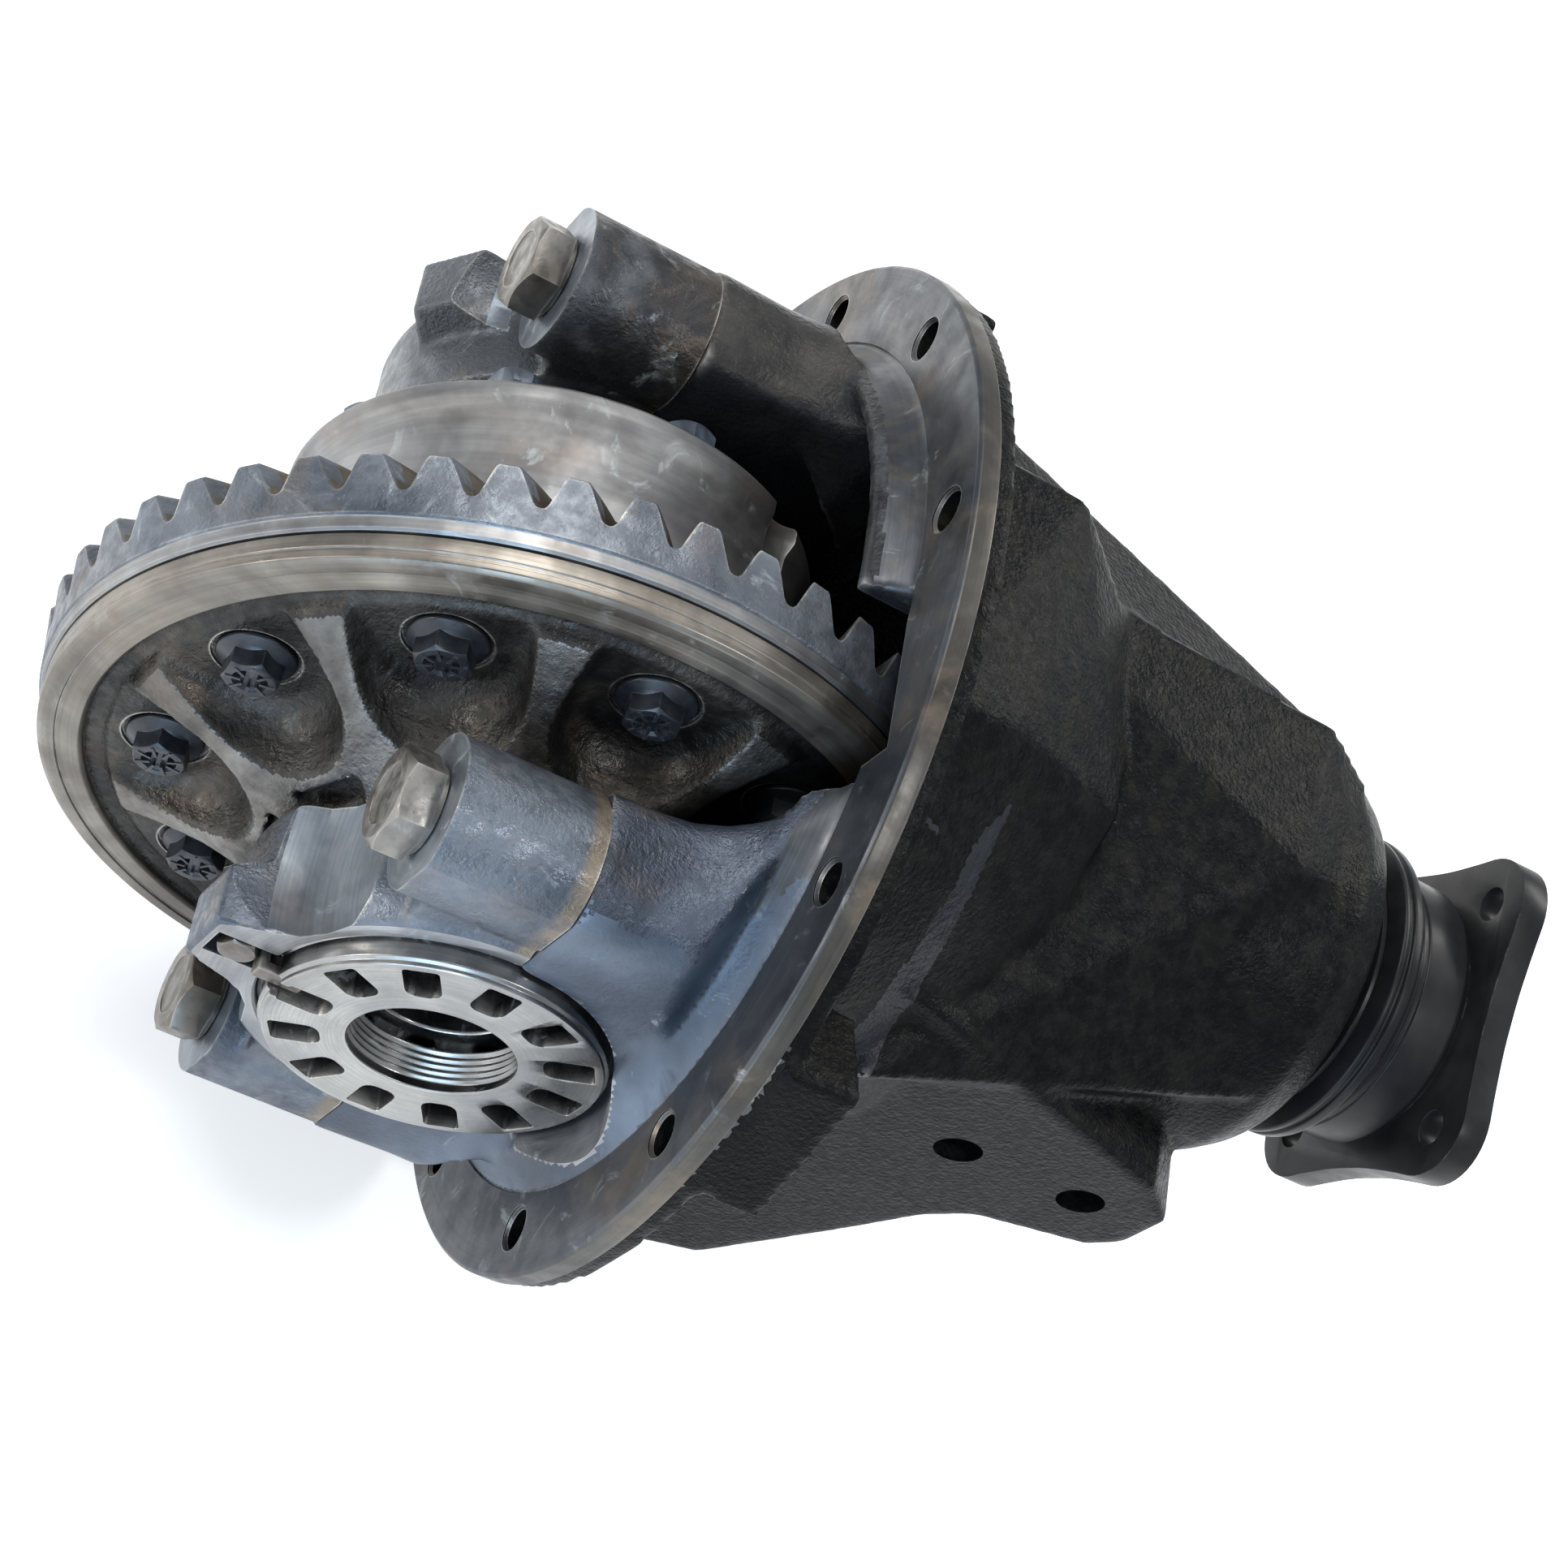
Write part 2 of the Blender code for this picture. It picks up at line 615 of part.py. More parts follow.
def ring_gear_holds(x, y, z):
    """Whether points in the ring gear's own frame, in millimetres, lie inside its teeth or its body."""
    rho = np.hypot(x, z)
    share = np.clip((rho - RING_TOE) / (RING_HEEL - RING_TOE), 0, 1)
    tip = lerp(RING_TIP_Y, share) + 0.4
    root = lerp(RING_ROOT_Y, share) + 0.4
    angle = np.arctan2(-z, x) - ring_spiral(np.clip(rho, RING_TOE - 3, RING_HEEL + 3))
    pitch = angle * RING_TEETH / math.tau
    offset = np.abs(pitch - np.round(pitch))
    climb = np.clip((y - root) / (tip - root), 0, 1)
    half = RING_ROOT_HALF + (RING_TIP_HALF - RING_ROOT_HALF) * climb + 0.03
    within = (rho > RING_TOE - 4) & (rho < RING_HEEL + 2)
    return within & ((y < root) | ((y < tip) & (offset < half)))


def meets_ring_gear(x, radius, angles):
    """Whether points on the pinion, at one radius, pass through a ring gear tooth at any moment of a turn."""
    turns = np.linspace(0, math.tau, 720, endpoint=False)
    own, turn = np.meshgrid(angles, turns, indexing="ij")
    y = radius * np.cos(own + turn)
    z = PINION_Z + radius * np.sin(own + turn)
    gear_turn = turn * PINION_TEETH / RING_TEETH
    away = x - RING_X
    gear_x = away * np.cos(gear_turn) - z * np.sin(gear_turn)
    gear_z = away * np.sin(gear_turn) + z * np.cos(gear_turn)
    return (ring_gear_holds(gear_x, y, gear_z) & (y < 0)).any(axis=1)


def pinion_tooth(x, radius, centre):
    """The free angles to both sides of a pinion tooth's centre line at one radius."""
    pitch = math.tau / PINION_TEETH
    offsets = np.linspace(0, 0.44 * pitch, 60)
    edges = []
    for side in (-1, 1):
        hit = meets_ring_gear(x, radius, centre + side * offsets)
        last = int(np.argmax(hit)) - 1 if hit.any() else len(offsets) - 1
        edges.append(side * offsets[max(last, 0)])
    return edges


def pinion_head():
    """The pinion's teeth, generated by the ring gear's teeth as the two turn together."""
    pitch = math.tau / PINION_TEETH
    stations = 7
    finer = 8
    steps = (stations - 1) * finer
    trial = np.linspace(0, pitch, 90, endpoint=False)
    middle_heel = (PINION_TIP_R[1] + PINION_ROOT_R[1]) / 2
    free = ~meets_ring_gear(PINION_HEEL_X, middle_heel, trial)
    centre = float(np.angle(np.sum(free * np.exp(1j * PINION_TEETH * trial)))) / PINION_TEETH
    drift = 0.0
    bm = bmesh.new()
    rings = []
    for step in range(steps, -1, -1):
        share = step / steps
        x = lerp((PINION_TOE_X, PINION_HEEL_X), share)
        root = lerp(PINION_ROOT_R, share)
        tip = lerp(PINION_TIP_R, share)
        before = centre
        centre += drift
        centre += sum(pinion_tooth(x, (root + tip) / 2, centre)) / 2
        drift = centre - before if step < steps else 0.0
        if step % finer:
            continue
        levels = (root, (root + tip) / 2, tip)
        spans = [pinion_tooth(x, radius, centre) for radius in levels]
        outline = [(span[0], radius) for span, radius in zip(spans, levels)]
        outline += [(span[1], radius) for span, radius in zip(spans[::-1], levels[::-1])]
        ring = []
        for tooth in range(PINION_TEETH):
            for offset, radius in outline:
                angle = centre + offset + tooth * pitch
                ring.append(bm.verts.new((x * MM, radius * math.cos(angle) * MM,
                                          (PINION_Z + radius * math.sin(angle)) * MM)))
        rings.append(ring)
    count = len(rings[0])
    for low, high in zip(rings, rings[1:]):
        for i in range(count):
            j = (i + 1) % count
            bm.faces.new((low[i], low[j], high[j], high[i]))
    bm.faces.new(rings[0])
    bm.faces.new(rings[-1])
    return bm_object("pinion_head", bm)


def drive_pinion():
    profile = [(0, 303), (14, 303), (14, 278), (20, 277), (20, 209), (22.5, 208), (22.5, 182), (24, 181), (24, 128),
               (27.5, 127), (27.5, 100.5), (31, 100), (31, 95), (18, 92), (11, 60), (11, 34), (0, 34)]
    shaft = turned("drive_pinion", profile, on_pinion_axis(), 24)
    join(shaft, pinion_head())
    return as_part(shaft, "drive_pinion", GEAR_STEEL)


def bevel_gear(name, teeth, mate_teeth, bore, back, hub_r, hub_end, half_turn, where, finish):
    """A straight bevel gear about local Z, its cone's tip at the origin and its back at +Z."""
    cone = math.atan2(teeth, mate_teeth)
    tip = cone + math.radians(TOOTH_RISE)
    root = cone - math.radians(TOOTH_DEPTH)
    corners = ((-TOOTH_TIP_HALF, tip), (TOOTH_TIP_HALF, tip), (0.5, root))
    toe = GEAR_CONE - GEAR_FACE
    heel_edge = GEAR_CONE * math.sin(root)
    sections = [("flat", bore, toe * math.cos(root) + 0.8), ("tooth", toe, 0), ("tooth", GEAR_CONE, 0),
                ("flat", heel_edge, back), ("flat", hub_r, back), ("flat", hub_r, hub_end), ("flat", bore, hub_end)]
    if hub_end <= back:
        sections = sections[:4] + [("flat", bore, back)]
    bm = bmesh.new()
    rings = []
    for kind, first, second in sections:
        ring = []
        for tooth in range(teeth):
            for offset, lean in corners:
                angle = math.tau * (tooth + offset + half_turn) / teeth
                radius = first if kind == "flat" else first * math.sin(lean)
                height = second if kind == "flat" else first * math.cos(lean)
                ring.append(bm.verts.new((radius * math.cos(angle) * MM, radius * math.sin(angle) * MM,
                                          height * MM)))
        rings.append(ring)
    count = len(rings[0])
    for low, high in zip(rings, rings[1:] + rings[:1]):
        for i in range(count):
            j = (i + 1) % count
            bm.faces.new((low[i], low[j], high[j], high[i]))
    return as_part(bm_object(name, bm, where), name, finish)


def differential_gears():
    centre = cross_frame()
    for side, outward in (("near", -1), ("far", 1)):
        turn = Matrix.Rotation(math.radians(-90 * outward), 4, "X")
        bevel_gear(f"side_gear_{side}", SIDE_TEETH, SPIDER_TEETH, 17, 35.4, SIDE_HUB_R, 56, 0,
                   centre @ turn, GEAR_STEEL)
    for i in range(4):
        spin = Matrix.Rotation(math.radians(90 * i), 4, "Y") @ X_AXIS
        bevel_gear(f"spider_pinion_{i + 1}", SPIDER_TEETH, SIDE_TEETH, ARM_R + GAP, 56, 0, 0, 0.5,
                   centre @ spin, GEAR_STEEL)


# ---------------------------------------------------------------- differential case

def case_flange_half():
    """The half that carries the ring gear: near journal, ribbed flange and gear seat."""
    wall = CROSS_Y - CAVITY_HALF
    profile = [(CAVITY_R, CROSS_Y), (CASE_SEAT_R, CROSS_Y), (CASE_SEAT_R, -47.3), (149, -47.3),
               (149, -54), (147, -57), (134, -57.5), (54, -82), (40, -94),
               (JOURNAL_R, -94.4), (JOURNAL_R, -120), (SHAFT_BORE_R, -120), (SHAFT_BORE_R, -45),
               (SIDE_HUB_R + GAP, -43.5), (SIDE_HUB_R + GAP, wall), (CAVITY_R, wall)]
    half = turned("case_flange_half", profile, on_ring_axis())
    pockets = []
    for i in range(RING_BOLTS):
        angle = 15 + i * 360 / RING_BOLTS
        outline = [(66, -10), (66, 10), (122, 31), (131, 22), (131, -22), (122, -31)]
        turn = Matrix.Rotation(math.radians(-angle), 4, "Y") @ Matrix.Rotation(math.radians(90), 4, "X")
        pockets.append(plate("pocket", outline, 44, place(RING_X, -54.5 - 22, 0, turn)))
    cut(half, *pockets)
    holes = []
    for i in range(RING_BOLTS):
        x, z = around(15 + i * 360 / RING_BOLTS, RING_BOLT_R)
        holes.append(cylinder("hole", 6.7, -60, -40, place(RING_X + x, 0, z, Y_AXIS), 8))
    for i in range(CASE_BOLTS):
        x, z = around(CROSS_TURN + (i + 0.5) * 360 / CASE_BOLTS, CASE_BOLT_R)
        holes.append(cylinder("hole", 6.7, -6, 30, place(RING_X + x, 0, z, Y_AXIS), 8))
    cut(half, *holes, *arm_holes())
    return as_part(half, "case_flange_half", CAST_GREY)


def cross_frame():
    return place(RING_X, CROSS_Y, 0, Matrix.Rotation(math.radians(-CROSS_TURN), 4, "Y"))


def arm_holes():
    return [cylinder("arm", ARM_R + GAP, -70, 70, cross_frame(), 16),
            cylinder("arm", ARM_R + GAP, -70, 70, cross_frame() @ X_AXIS, 16)]


def case_cap_half():
    """The half that closes the case: bolt rim, far wall and far journal."""
    joint = CROSS_Y + GAP
    wall = CROSS_Y + CAVITY_HALF
    profile = [(JOURNAL_R, 111), (JOURNAL_R, 85.4), (40, 85), (46, 72), (50, RIM_Y), (RIM_R, RIM_Y),
               (RIM_R, 56), (CASE_SEAT_R, 47), (CASE_SEAT_R, joint), (CAVITY_R, joint), (CAVITY_R, wall),
               (SIDE_HUB_R + GAP, wall), (SIDE_HUB_R + GAP, 73.5), (SHAFT_BORE_R, 75), (SHAFT_BORE_R, 111)]
    half = turned("case_cap_half", profile, on_ring_axis())
    holes = []
    for i in range(CASE_BOLTS):
        x, z = around(CROSS_TURN + (i + 0.5) * 360 / CASE_BOLTS, CASE_BOLT_R)
        holes.append(cylinder("hole", 6.7, 5, 70, place(RING_X + x, 0, z, Y_AXIS), 8))
    x, z = around(55, RIM_R + 2)
    holes.append(cylinder("relief", 9, 20, 70, place(RING_X + x, 0, z, Y_AXIS), 12))
    cut(half, *holes, *arm_holes())
    return as_part(half, "case_cap_half", STEEL)


def differential_cross():
    upright = cylinder("cross", ARM_R, -68.5, 68.5, cross_frame(), 16)
    level = cylinder("cross", ARM_R, -68.5, 68.5, cross_frame() @ X_AXIS, 16)
    hub = cylinder("hub", 14, -11, 11, place(RING_X, CROSS_Y, 0, Y_AXIS), 16)
    return as_part(join(upright, level, hub), "differential_cross", GEAR_STEEL)


def thrust_washers():
    for side, outward in (("near", -1), ("far", 1)):
        turn = Matrix.Rotation(math.radians(-90 * outward), 4, "X")
        profile = [(37, 37.6), (54, 37.6), (54, 35.9), (37, 35.9)]
        washer = turned("washer", profile, place(RING_X, CROSS_Y, 0, turn), 24)
        as_part(washer, f"side_gear_washer_{side}", BRIGHT_STEEL)


# ---------------------------------------------------------------- bearings

def taper_bearing(cup_name, cone_name, inner_r, outer_r, width, where):
    """A taper roller bearing about local Z whose big end is at zero: the cup, then the cone with its rollers."""
    step = outer_r - inner_r
    big = outer_r - step * 0.22
    small = outer_r - step * 0.36
    cup = turned(cup_name, [(small, width - 1), (outer_r, width - 1), (outer_r, 2), (big, 2)], where)
    as_part(cup, cup_name, BRIGHT_STEEL)
    lip = inner_r + step * 0.5
    cone = turned(cone_name, [(inner_r, width), (lip, width), (small - GAP, width - 2.5), (big - GAP, 2.5),
                              (lip + 2, 0), (inner_r, 0)], where)
    as_part(cone, cone_name, BRIGHT_STEEL)


def bearings():
    taper_bearing("side_bearing_cup_near", "side_bearing_cone_near", JOURNAL_R + GAP, SIDE_BORE_R - GAP, 22,
                  place(RING_X, -94.8, 0, Matrix.Rotation(math.radians(90), 4, "X")))
    taper_bearing("side_bearing_cup_far", "side_bearing_cone_far", JOURNAL_R + GAP, SIDE_BORE_R - GAP, 22,
                  place(RING_X, 85.8, 0, Y_AXIS))
    taper_bearing("pinion_inner_cup", "pinion_inner_cone", 27.8, 52, 24, on_pinion_axis(INNER_BEARING_X - 1.5))
    outward = place(OUTER_BEARING_X + 24, 0, PINION_Z, Matrix.Rotation(math.radians(-90), 4, "Y"))
    taper_bearing("pinion_outer_cup", "pinion_outer_cone", 22.8, 45, 22, outward)


# ---------------------------------------------------------------- pinion nose and companion flange

def pinion_spacer():
    low = INNER_BEARING_X + 24
    high = OUTER_BEARING_X - 0.5
    profile = [(34, high), (36, high - 12), (36, low + 12), (34, low), (28, low), (28, high)]
    return as_part(turned("pinion_spacer", profile, on_pinion_axis(), 24), "pinion_spacer", STEEL)


def oil_seal():
    profile = [(47, 238), (47, 226.4), (35, 226.4), (35, 232), (40, 238)]
    return as_part(turned("oil_seal", profile, on_pinion_axis(), 32), "pinion_oil_seal", RUBBER)


def dust_ring():
    profile = [(54, 256), (58, 252), (58, 244), (50.5, 242), (50.5, 256)]
    return as_part(turned("dust_ring", profile, on_pinion_axis(), 32), "dust_ring", SATIN_BLACK)


def plate_outline():
    """A square with rounded corners whose sides are hollowed by shallow arcs."""
    points = []
    for corner in range(4):
        middle = 90 * corner + 45
        for share in (-1, -0.5, 0, 0.5, 1):
            spread = 13.5 * share
            radius = PLATE_CORNER - 6.5 * share * share
            points.append(around(middle + spread, radius))
        for share in (-0.5, 0, 0.5):
            points.append(around(middle + 45 + 30 * share, 57.5 + 9.0 * share * share * 2))
    return points


def companion_flange():
    turn = X_AXIS @ Matrix.Rotation(math.radians(PLATE_TURN), 4, "Z")
    middle = PLATE_X + PLATE_T / 2
    square = plate("companion", plate_outline(), PLATE_T, place(middle, 0, PINION_Z, turn))
    profile = [(20.4, 294), (44, 294), (44, 281), (50, 279), (50, 240), (34.6, 239), (34.6, 210), (20.4, 210)]
    hub = turned("hub", profile, on_pinion_axis(), 32)
    core = cylinder("core", 20.4, 200, 310, on_pinion_axis())
    recess = cylinder("recess", 27, 280, 310, on_pinion_axis())
    holes = []
    for i in range(4):
        down, y = around(90 * i + 45 + PLATE_TURN, PLATE_BOLT_R)
        holes.append(cylinder("hole", 6.5, 280, 310, place(0, y, PINION_Z - down, X_AXIS), 12))
    cut(join(square, hub), core, recess, *holes)
    return as_part(square, "companion_flange", SATIN_BLACK)


def flange_nut():
    bm = bmesh.new()
    bmesh.ops.create_cone(bm, cap_ends=True, segments=6, radius1=23 * MM, radius2=23 * MM, depth=18 * MM,
                          matrix=Matrix.Translation((0, 0, 293.5 * MM)))
    nut = bm_object("nut", bm, on_pinion_axis())
    cut(nut, cylinder("thread", 14.4, 280, 320, on_pinion_axis()))
    as_part(nut, "flange_nut", STEEL)
    washer = turned("washer", [(25, 284.2), (25, 280.3), (20.6, 280.3), (20.6, 284.2)], on_pinion_axis(), 24)
    as_part(washer, "flange_nut_washer", STEEL)


# ---------------------------------------------------------------- assembly

carrier_housing()
bearing_cap(NEAR_Y, "bearing_cap_near")
bearing_cap(FAR_Y, "bearing_cap_far")
cap_bolts()
adjuster("adjuster_nut_near", NEAR_Y - 31, -1)
adjuster("adjuster_nut_far", FAR_Y + 31, 1)
adjuster_lock("adjuster_lock_near", NEAR_Y, NEAR_Y - 31, -1)
adjuster_lock("adjuster_lock_far", FAR_Y, FAR_Y + 31, 1)
lock_bolts()
ring_gear()
ring_gear_bolts()
drive_pinion()
case_flange_half()
case_cap_half()
case_bolts()
differential_cross()
differential_gears()
thrust_washers()
bearings()
pinion_spacer()
oil_seal()
dust_ring()
companion_flange()
flange_nut()
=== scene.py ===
"""Visual model of the drop-out differential carrier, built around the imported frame.

Same frame as the CAD: origin at the centre of the flange's mounting face, +X along the drive pinion to the
companion flange, +Y along the axle shafts to the far side, +Z up. Lengths are millimetres and angles degrees,
and the helpers turn them into metres and radians.
"""
import math
import bmesh
import bpy
import numpy as np
from mathutils import Matrix, Vector


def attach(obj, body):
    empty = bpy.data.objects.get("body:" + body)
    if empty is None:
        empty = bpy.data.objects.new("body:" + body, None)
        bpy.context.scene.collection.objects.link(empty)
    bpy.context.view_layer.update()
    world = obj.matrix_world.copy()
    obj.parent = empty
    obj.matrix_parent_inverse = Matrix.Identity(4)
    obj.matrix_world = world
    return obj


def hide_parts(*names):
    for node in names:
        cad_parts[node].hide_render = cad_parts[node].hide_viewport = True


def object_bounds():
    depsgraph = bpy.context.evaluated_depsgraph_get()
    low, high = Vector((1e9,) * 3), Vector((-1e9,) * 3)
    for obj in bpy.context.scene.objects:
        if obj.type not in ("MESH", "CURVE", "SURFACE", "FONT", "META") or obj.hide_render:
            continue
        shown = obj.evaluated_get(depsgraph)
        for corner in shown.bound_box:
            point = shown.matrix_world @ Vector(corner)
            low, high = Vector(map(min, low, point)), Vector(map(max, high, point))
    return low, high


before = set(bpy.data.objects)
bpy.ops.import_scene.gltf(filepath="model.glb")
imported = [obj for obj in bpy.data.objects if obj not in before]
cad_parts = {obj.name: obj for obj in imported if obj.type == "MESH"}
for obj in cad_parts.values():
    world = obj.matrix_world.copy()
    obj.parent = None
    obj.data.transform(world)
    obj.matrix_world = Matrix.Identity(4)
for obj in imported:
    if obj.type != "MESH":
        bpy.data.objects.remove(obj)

CAD_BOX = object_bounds()
MM = 0.001

# Main axes and dimensions, as in the CAD
RING_X = -61.0
PINION_Z = 39.0
FLANGE_R = 187.0
FLANGE_BOLT_R = 170.0
FLANGE_HOLE_ANGLES = (23.0, 53.5, 86.0, 129.0, 163.0)
NEAR_Y = -109.0
FAR_Y = 100.0
SIDE_BORE_R = 58.8
CAP_BOLT_Z = 82.0
CAP_SEAT_X = -110.0
LOCK_TURN = {-1: 0.0, 1: 30.0}
RING_TEETH = 46
RING_BOLT_R = 107.0
RING_BOLTS = 10
RING_BOLT_TURN = 15.0
CASE_BOLTS = 8
CASE_BOLT_R = 77.0
CROSS_TURN = 14.5
CAP_HOLE_R = 10.6
CASE_HOLE_R = 6.7
LOCK_SCREW_X = RING_X - 70
LOCK_SEAT = 15.0
NUT_FACE = 31.0
SHAFT_R = 24.0
PLATE_X = 285.5
PLATE_TURN = 18.5


# ---- shapes

def rot(axis, angle):
    return Matrix.Rotation(math.radians(angle), 4, axis)


def place(x=0.0, y=0.0, z=0.0, turn=None):
    return Matrix.Translation((x * MM, y * MM, z * MM)) @ (turn or Matrix.Identity(4))


X_AXIS = rot("Y", 90)          # carries local +Z to world +X
Y_AXIS = rot("X", -90)         # carries local +Z to world +Y
RING_AXIS = place(RING_X, 0, 0, Y_AXIS)
PINION_AXIS = place(0, 0, PINION_Z, X_AXIS)


def from_arrays(name, verts, faces, where=None):
    """A mesh object from points in millimetres, its transform applied to the mesh."""
    mesh = bpy.data.meshes.new(name)
    mesh.from_pydata([tuple(c * MM for c in v) for v in verts], [], faces)
    return finish_mesh(name, mesh, where)


def add_object(name, data):
    made = bpy.data.objects.new(name, data)
    bpy.context.scene.collection.objects.link(made)
    return made


def weld(mesh, distance=0.0, close=False):
    """Merge points closer than a distance, close what is open on request, and turn the normals outwards."""
    bm = bmesh.new()
    bm.from_mesh(mesh)
    if distance:
        bmesh.ops.remove_doubles(bm, verts=bm.verts, dist=distance)
    bmesh.ops.recalc_face_normals(bm, faces=bm.faces)
    if close:
        empty = [f for f in bm.faces if f.calc_area() < 1e-14]
        bmesh.ops.delete(bm, geom=empty, context="FACES_ONLY")
        bmesh.ops.holes_fill(bm, edges=bm.edges)
        bmesh.ops.recalc_face_normals(bm, faces=bm.faces)
    bm.to_mesh(mesh)
    bm.free()


def finish_mesh(name, mesh, where=None):
    if where is not None:
        mesh.transform(where)
    weld(mesh)
    return add_object(name, mesh)


def rounded(profile, size=0.8):
    """A closed profile whose corners are cut by small arcs; a point with a third value has its own size."""
    out = []
    count = len(profile)
    for i, point in enumerate(profile):
        here = np.array(point[:2], float)
        radius = point[2] if len(point) > 2 else size
        back = np.array(profile[i - 1][:2], float) - here
        ahead = np.array(profile[(i + 1) % count][:2], float) - here
        reach = min(radius, 0.45 * np.linalg.norm(back), 0.45 * np.linalg.norm(ahead))
        if reach < 0.05:
            out.append(tuple(here))
            continue
        a = here + back / np.linalg.norm(back) * reach
        b = here + ahead / np.linalg.norm(ahead) * reach
        for share in (0.0, 0.33, 0.67, 1.0):
            out.append(tuple((1 - share) ** 2 * a + 2 * share * (1 - share) * here + share ** 2 * b))
    return out


def lathe(name, profile, where, steps=96, size=0.8):
    """A closed profile of (radius, height) turned about local Z, its corners rounded."""
    points = rounded(profile, size) if size else [p[:2] for p in profile]
    verts = []
    for r, h in points:
        for i in range(steps):
            a = math.tau * i / steps
            verts.append((r * math.cos(a), r * math.sin(a), h))
    faces = []
    count = len(points)
    for j in range(count):
        k = (j + 1) % count
        for i in range(steps):
            n = (i + 1) % steps
            faces.append((j * steps + i, j * steps + n, k * steps + n, k * steps + i))
    made = from_arrays(name, verts, faces, where)
    weld(made.data, 0.005 * MM)
    return made


def solid_lathe(name, profile, where, steps=96, size=0.8):
    """The same with both ends on the axis: profile runs from the top to the bottom."""
    eps = 0.02
    closed = [(eps, profile[0][1], 0)] + list(profile) + [(eps, profile[-1][1], 0)]
    made = lathe(name, closed, where, steps, size)
    weld(made.data, eps * MM * 1.2, close=True)
    return made


def prism(name, outline, low, high, where=None):
    """An outline in local XY, extruded from one height to another."""
    count = len(outline)
    verts = [(x, y, low) for x, y in outline] + [(x, y, high) for x, y in outline]
    faces = [tuple(range(count)), tuple(range(2 * count - 1, count - 1, -1))]
    faces += [(i, (i + 1) % count, count + (i + 1) % count, count + i) for i in range(count)]
    return from_arrays(name, verts, faces, where)


def rod(name, radius, low, high, where, steps=64):
    outline = [(radius * math.cos(math.tau * i / steps), radius * math.sin(math.tau * i / steps))
               for i in range(steps)]
    return prism(name, outline, low, high, where)


def block(name, low, high, where=None):
    outline = [(low[0], low[1]), (high[0], low[1]), (high[0], high[1]), (low[0], high[1])]
    return prism(name, outline, low[2], high[2], where)


def hull(name, points, where=None):
    """The convex hull of points, for a faceted lump of casting."""
    bm = bmesh.new()
    for p in points:
        bm.verts.new(tuple(c * MM for c in p))
    bmesh.ops.convex_hull(bm, input=bm.verts)
    bmesh.ops.dissolve_limit(bm, angle_limit=0.001, verts=bm.verts, edges=bm.edges)
    mesh = bpy.data.meshes.new(name)
    bm.to_mesh(mesh)
    bm.free()
    return finish_mesh(name, mesh, where)


def ring_points(x, y, z, radius, count=40):
    return [(x, y + radius * math.cos(a), z + radius * math.sin(a))
            for a in (math.tau * i / count for i in range(count))]


def cone(name, low, high):
    """A solid between two circles that lie across X, each given as (x, y, z, radius)."""
    return hull(name, ring_points(*low) + ring_points(*high))


def bake(item):
    graph = bpy.context.evaluated_depsgraph_get()
    mesh = bpy.data.meshes.new_from_object(item.evaluated_get(graph))
    item.modifiers.clear()
    item.data = mesh
    return item


def boolean(item, others, operation):
    for other in others:
        step = item.modifiers.new(operation, "BOOLEAN")
        step.operation = operation
        step.solver = "MANIFOLD"
        step.object = other
    bpy.context.view_layer.update()
    bake(item)
    for other in others:
        bpy.data.objects.remove(other, do_unlink=True)
    return item


def join(item, *others):
    return boolean(item, others, "UNION")


def cut(item, *others):
    return boolean(item, others, "DIFFERENCE")


def clip(item, *others):
    return boolean(item, others, "INTERSECT")


def cast(item, voxel, passes):
    """Melt a rough assembly into one casting: voxel remesh, then relax the corners."""
    step = item.modifiers.new("voxel", "REMESH")
    step.mode = "VOXEL"
    step.voxel_size = voxel * MM
    step = item.modifiers.new("relax", "SMOOTH")
    step.factor = 0.5
    step.iterations = passes
    return bake(item)


def edge(item, width, segments=2, angle=35.0):
    step = item.modifiers.new("edge", "BEVEL")
    step.width = width * MM
    step.segments = segments
    step.limit_method = "ANGLE"
    step.angle_limit = math.radians(angle)
    step.use_clamp_overlap = True
    return bake(item)


def around(angle, radius):
    a = math.radians(angle)
    return radius * math.cos(a), radius * math.sin(a)


def lerp(pair, share):
    return pair[0] + (pair[1] - pair[0]) * share


def spots(count, radius, start):
    """Bolt positions (x, z) evenly spaced about the ring axis."""
    for i in range(count):
        x, z = around(start + i * 360 / count, radius)
        yield RING_X + x, z


RING_SPOTS = list(spots(RING_BOLTS, RING_BOLT_R, RING_BOLT_TURN))
CASE_SPOTS = list(spots(CASE_BOLTS, CASE_BOLT_R, CROSS_TURN + 180 / CASE_BOLTS))


def settle(item, name, body, slot, finishes, *nodes, smooth=30.0):
    """Name a piece, give it its materials and put it on its body in place of its CAD nodes."""
    item.name = name
    mesh = item.data
    mesh.name = name
    if not isinstance(finishes, (list, tuple)):
        finishes = [finishes]
    index = np.zeros(len(mesh.polygons), dtype=np.int32)
    if len(finishes) > 1:
        mesh.polygons.foreach_get("material_index", index)
    mesh.materials.clear()
    for material in finishes:
        mesh.materials.append(material)
    mesh.polygons.foreach_set("material_index", index)
    mesh.shade_smooth()
    mesh.set_sharp_from_angle(angle=math.radians(smooth))
    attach(item, body)
    if nodes:
        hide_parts(*nodes)
    return item


def face_data(item):
    """Centres in millimetres and normals of an item's faces, each as rows of x, y and z."""
    rows = []
    for key, unit in (("center", MM), ("normal", 1.0)):
        values = np.empty(len(item.data.polygons) * 3)
        item.data.polygons.foreach_get(key, values)
        rows.append((values.reshape(-1, 3) / unit).T)
    return rows


def paint_faces(item, rules):
    """Give each face the material index of the first rule, (index, mask over the faces), that holds."""
    index = np.zeros(len(item.data.polygons), dtype=np.int32)
    for number, mask in reversed(rules):
        index[mask] = number
    item.data.polygons.foreach_set("material_index", index)


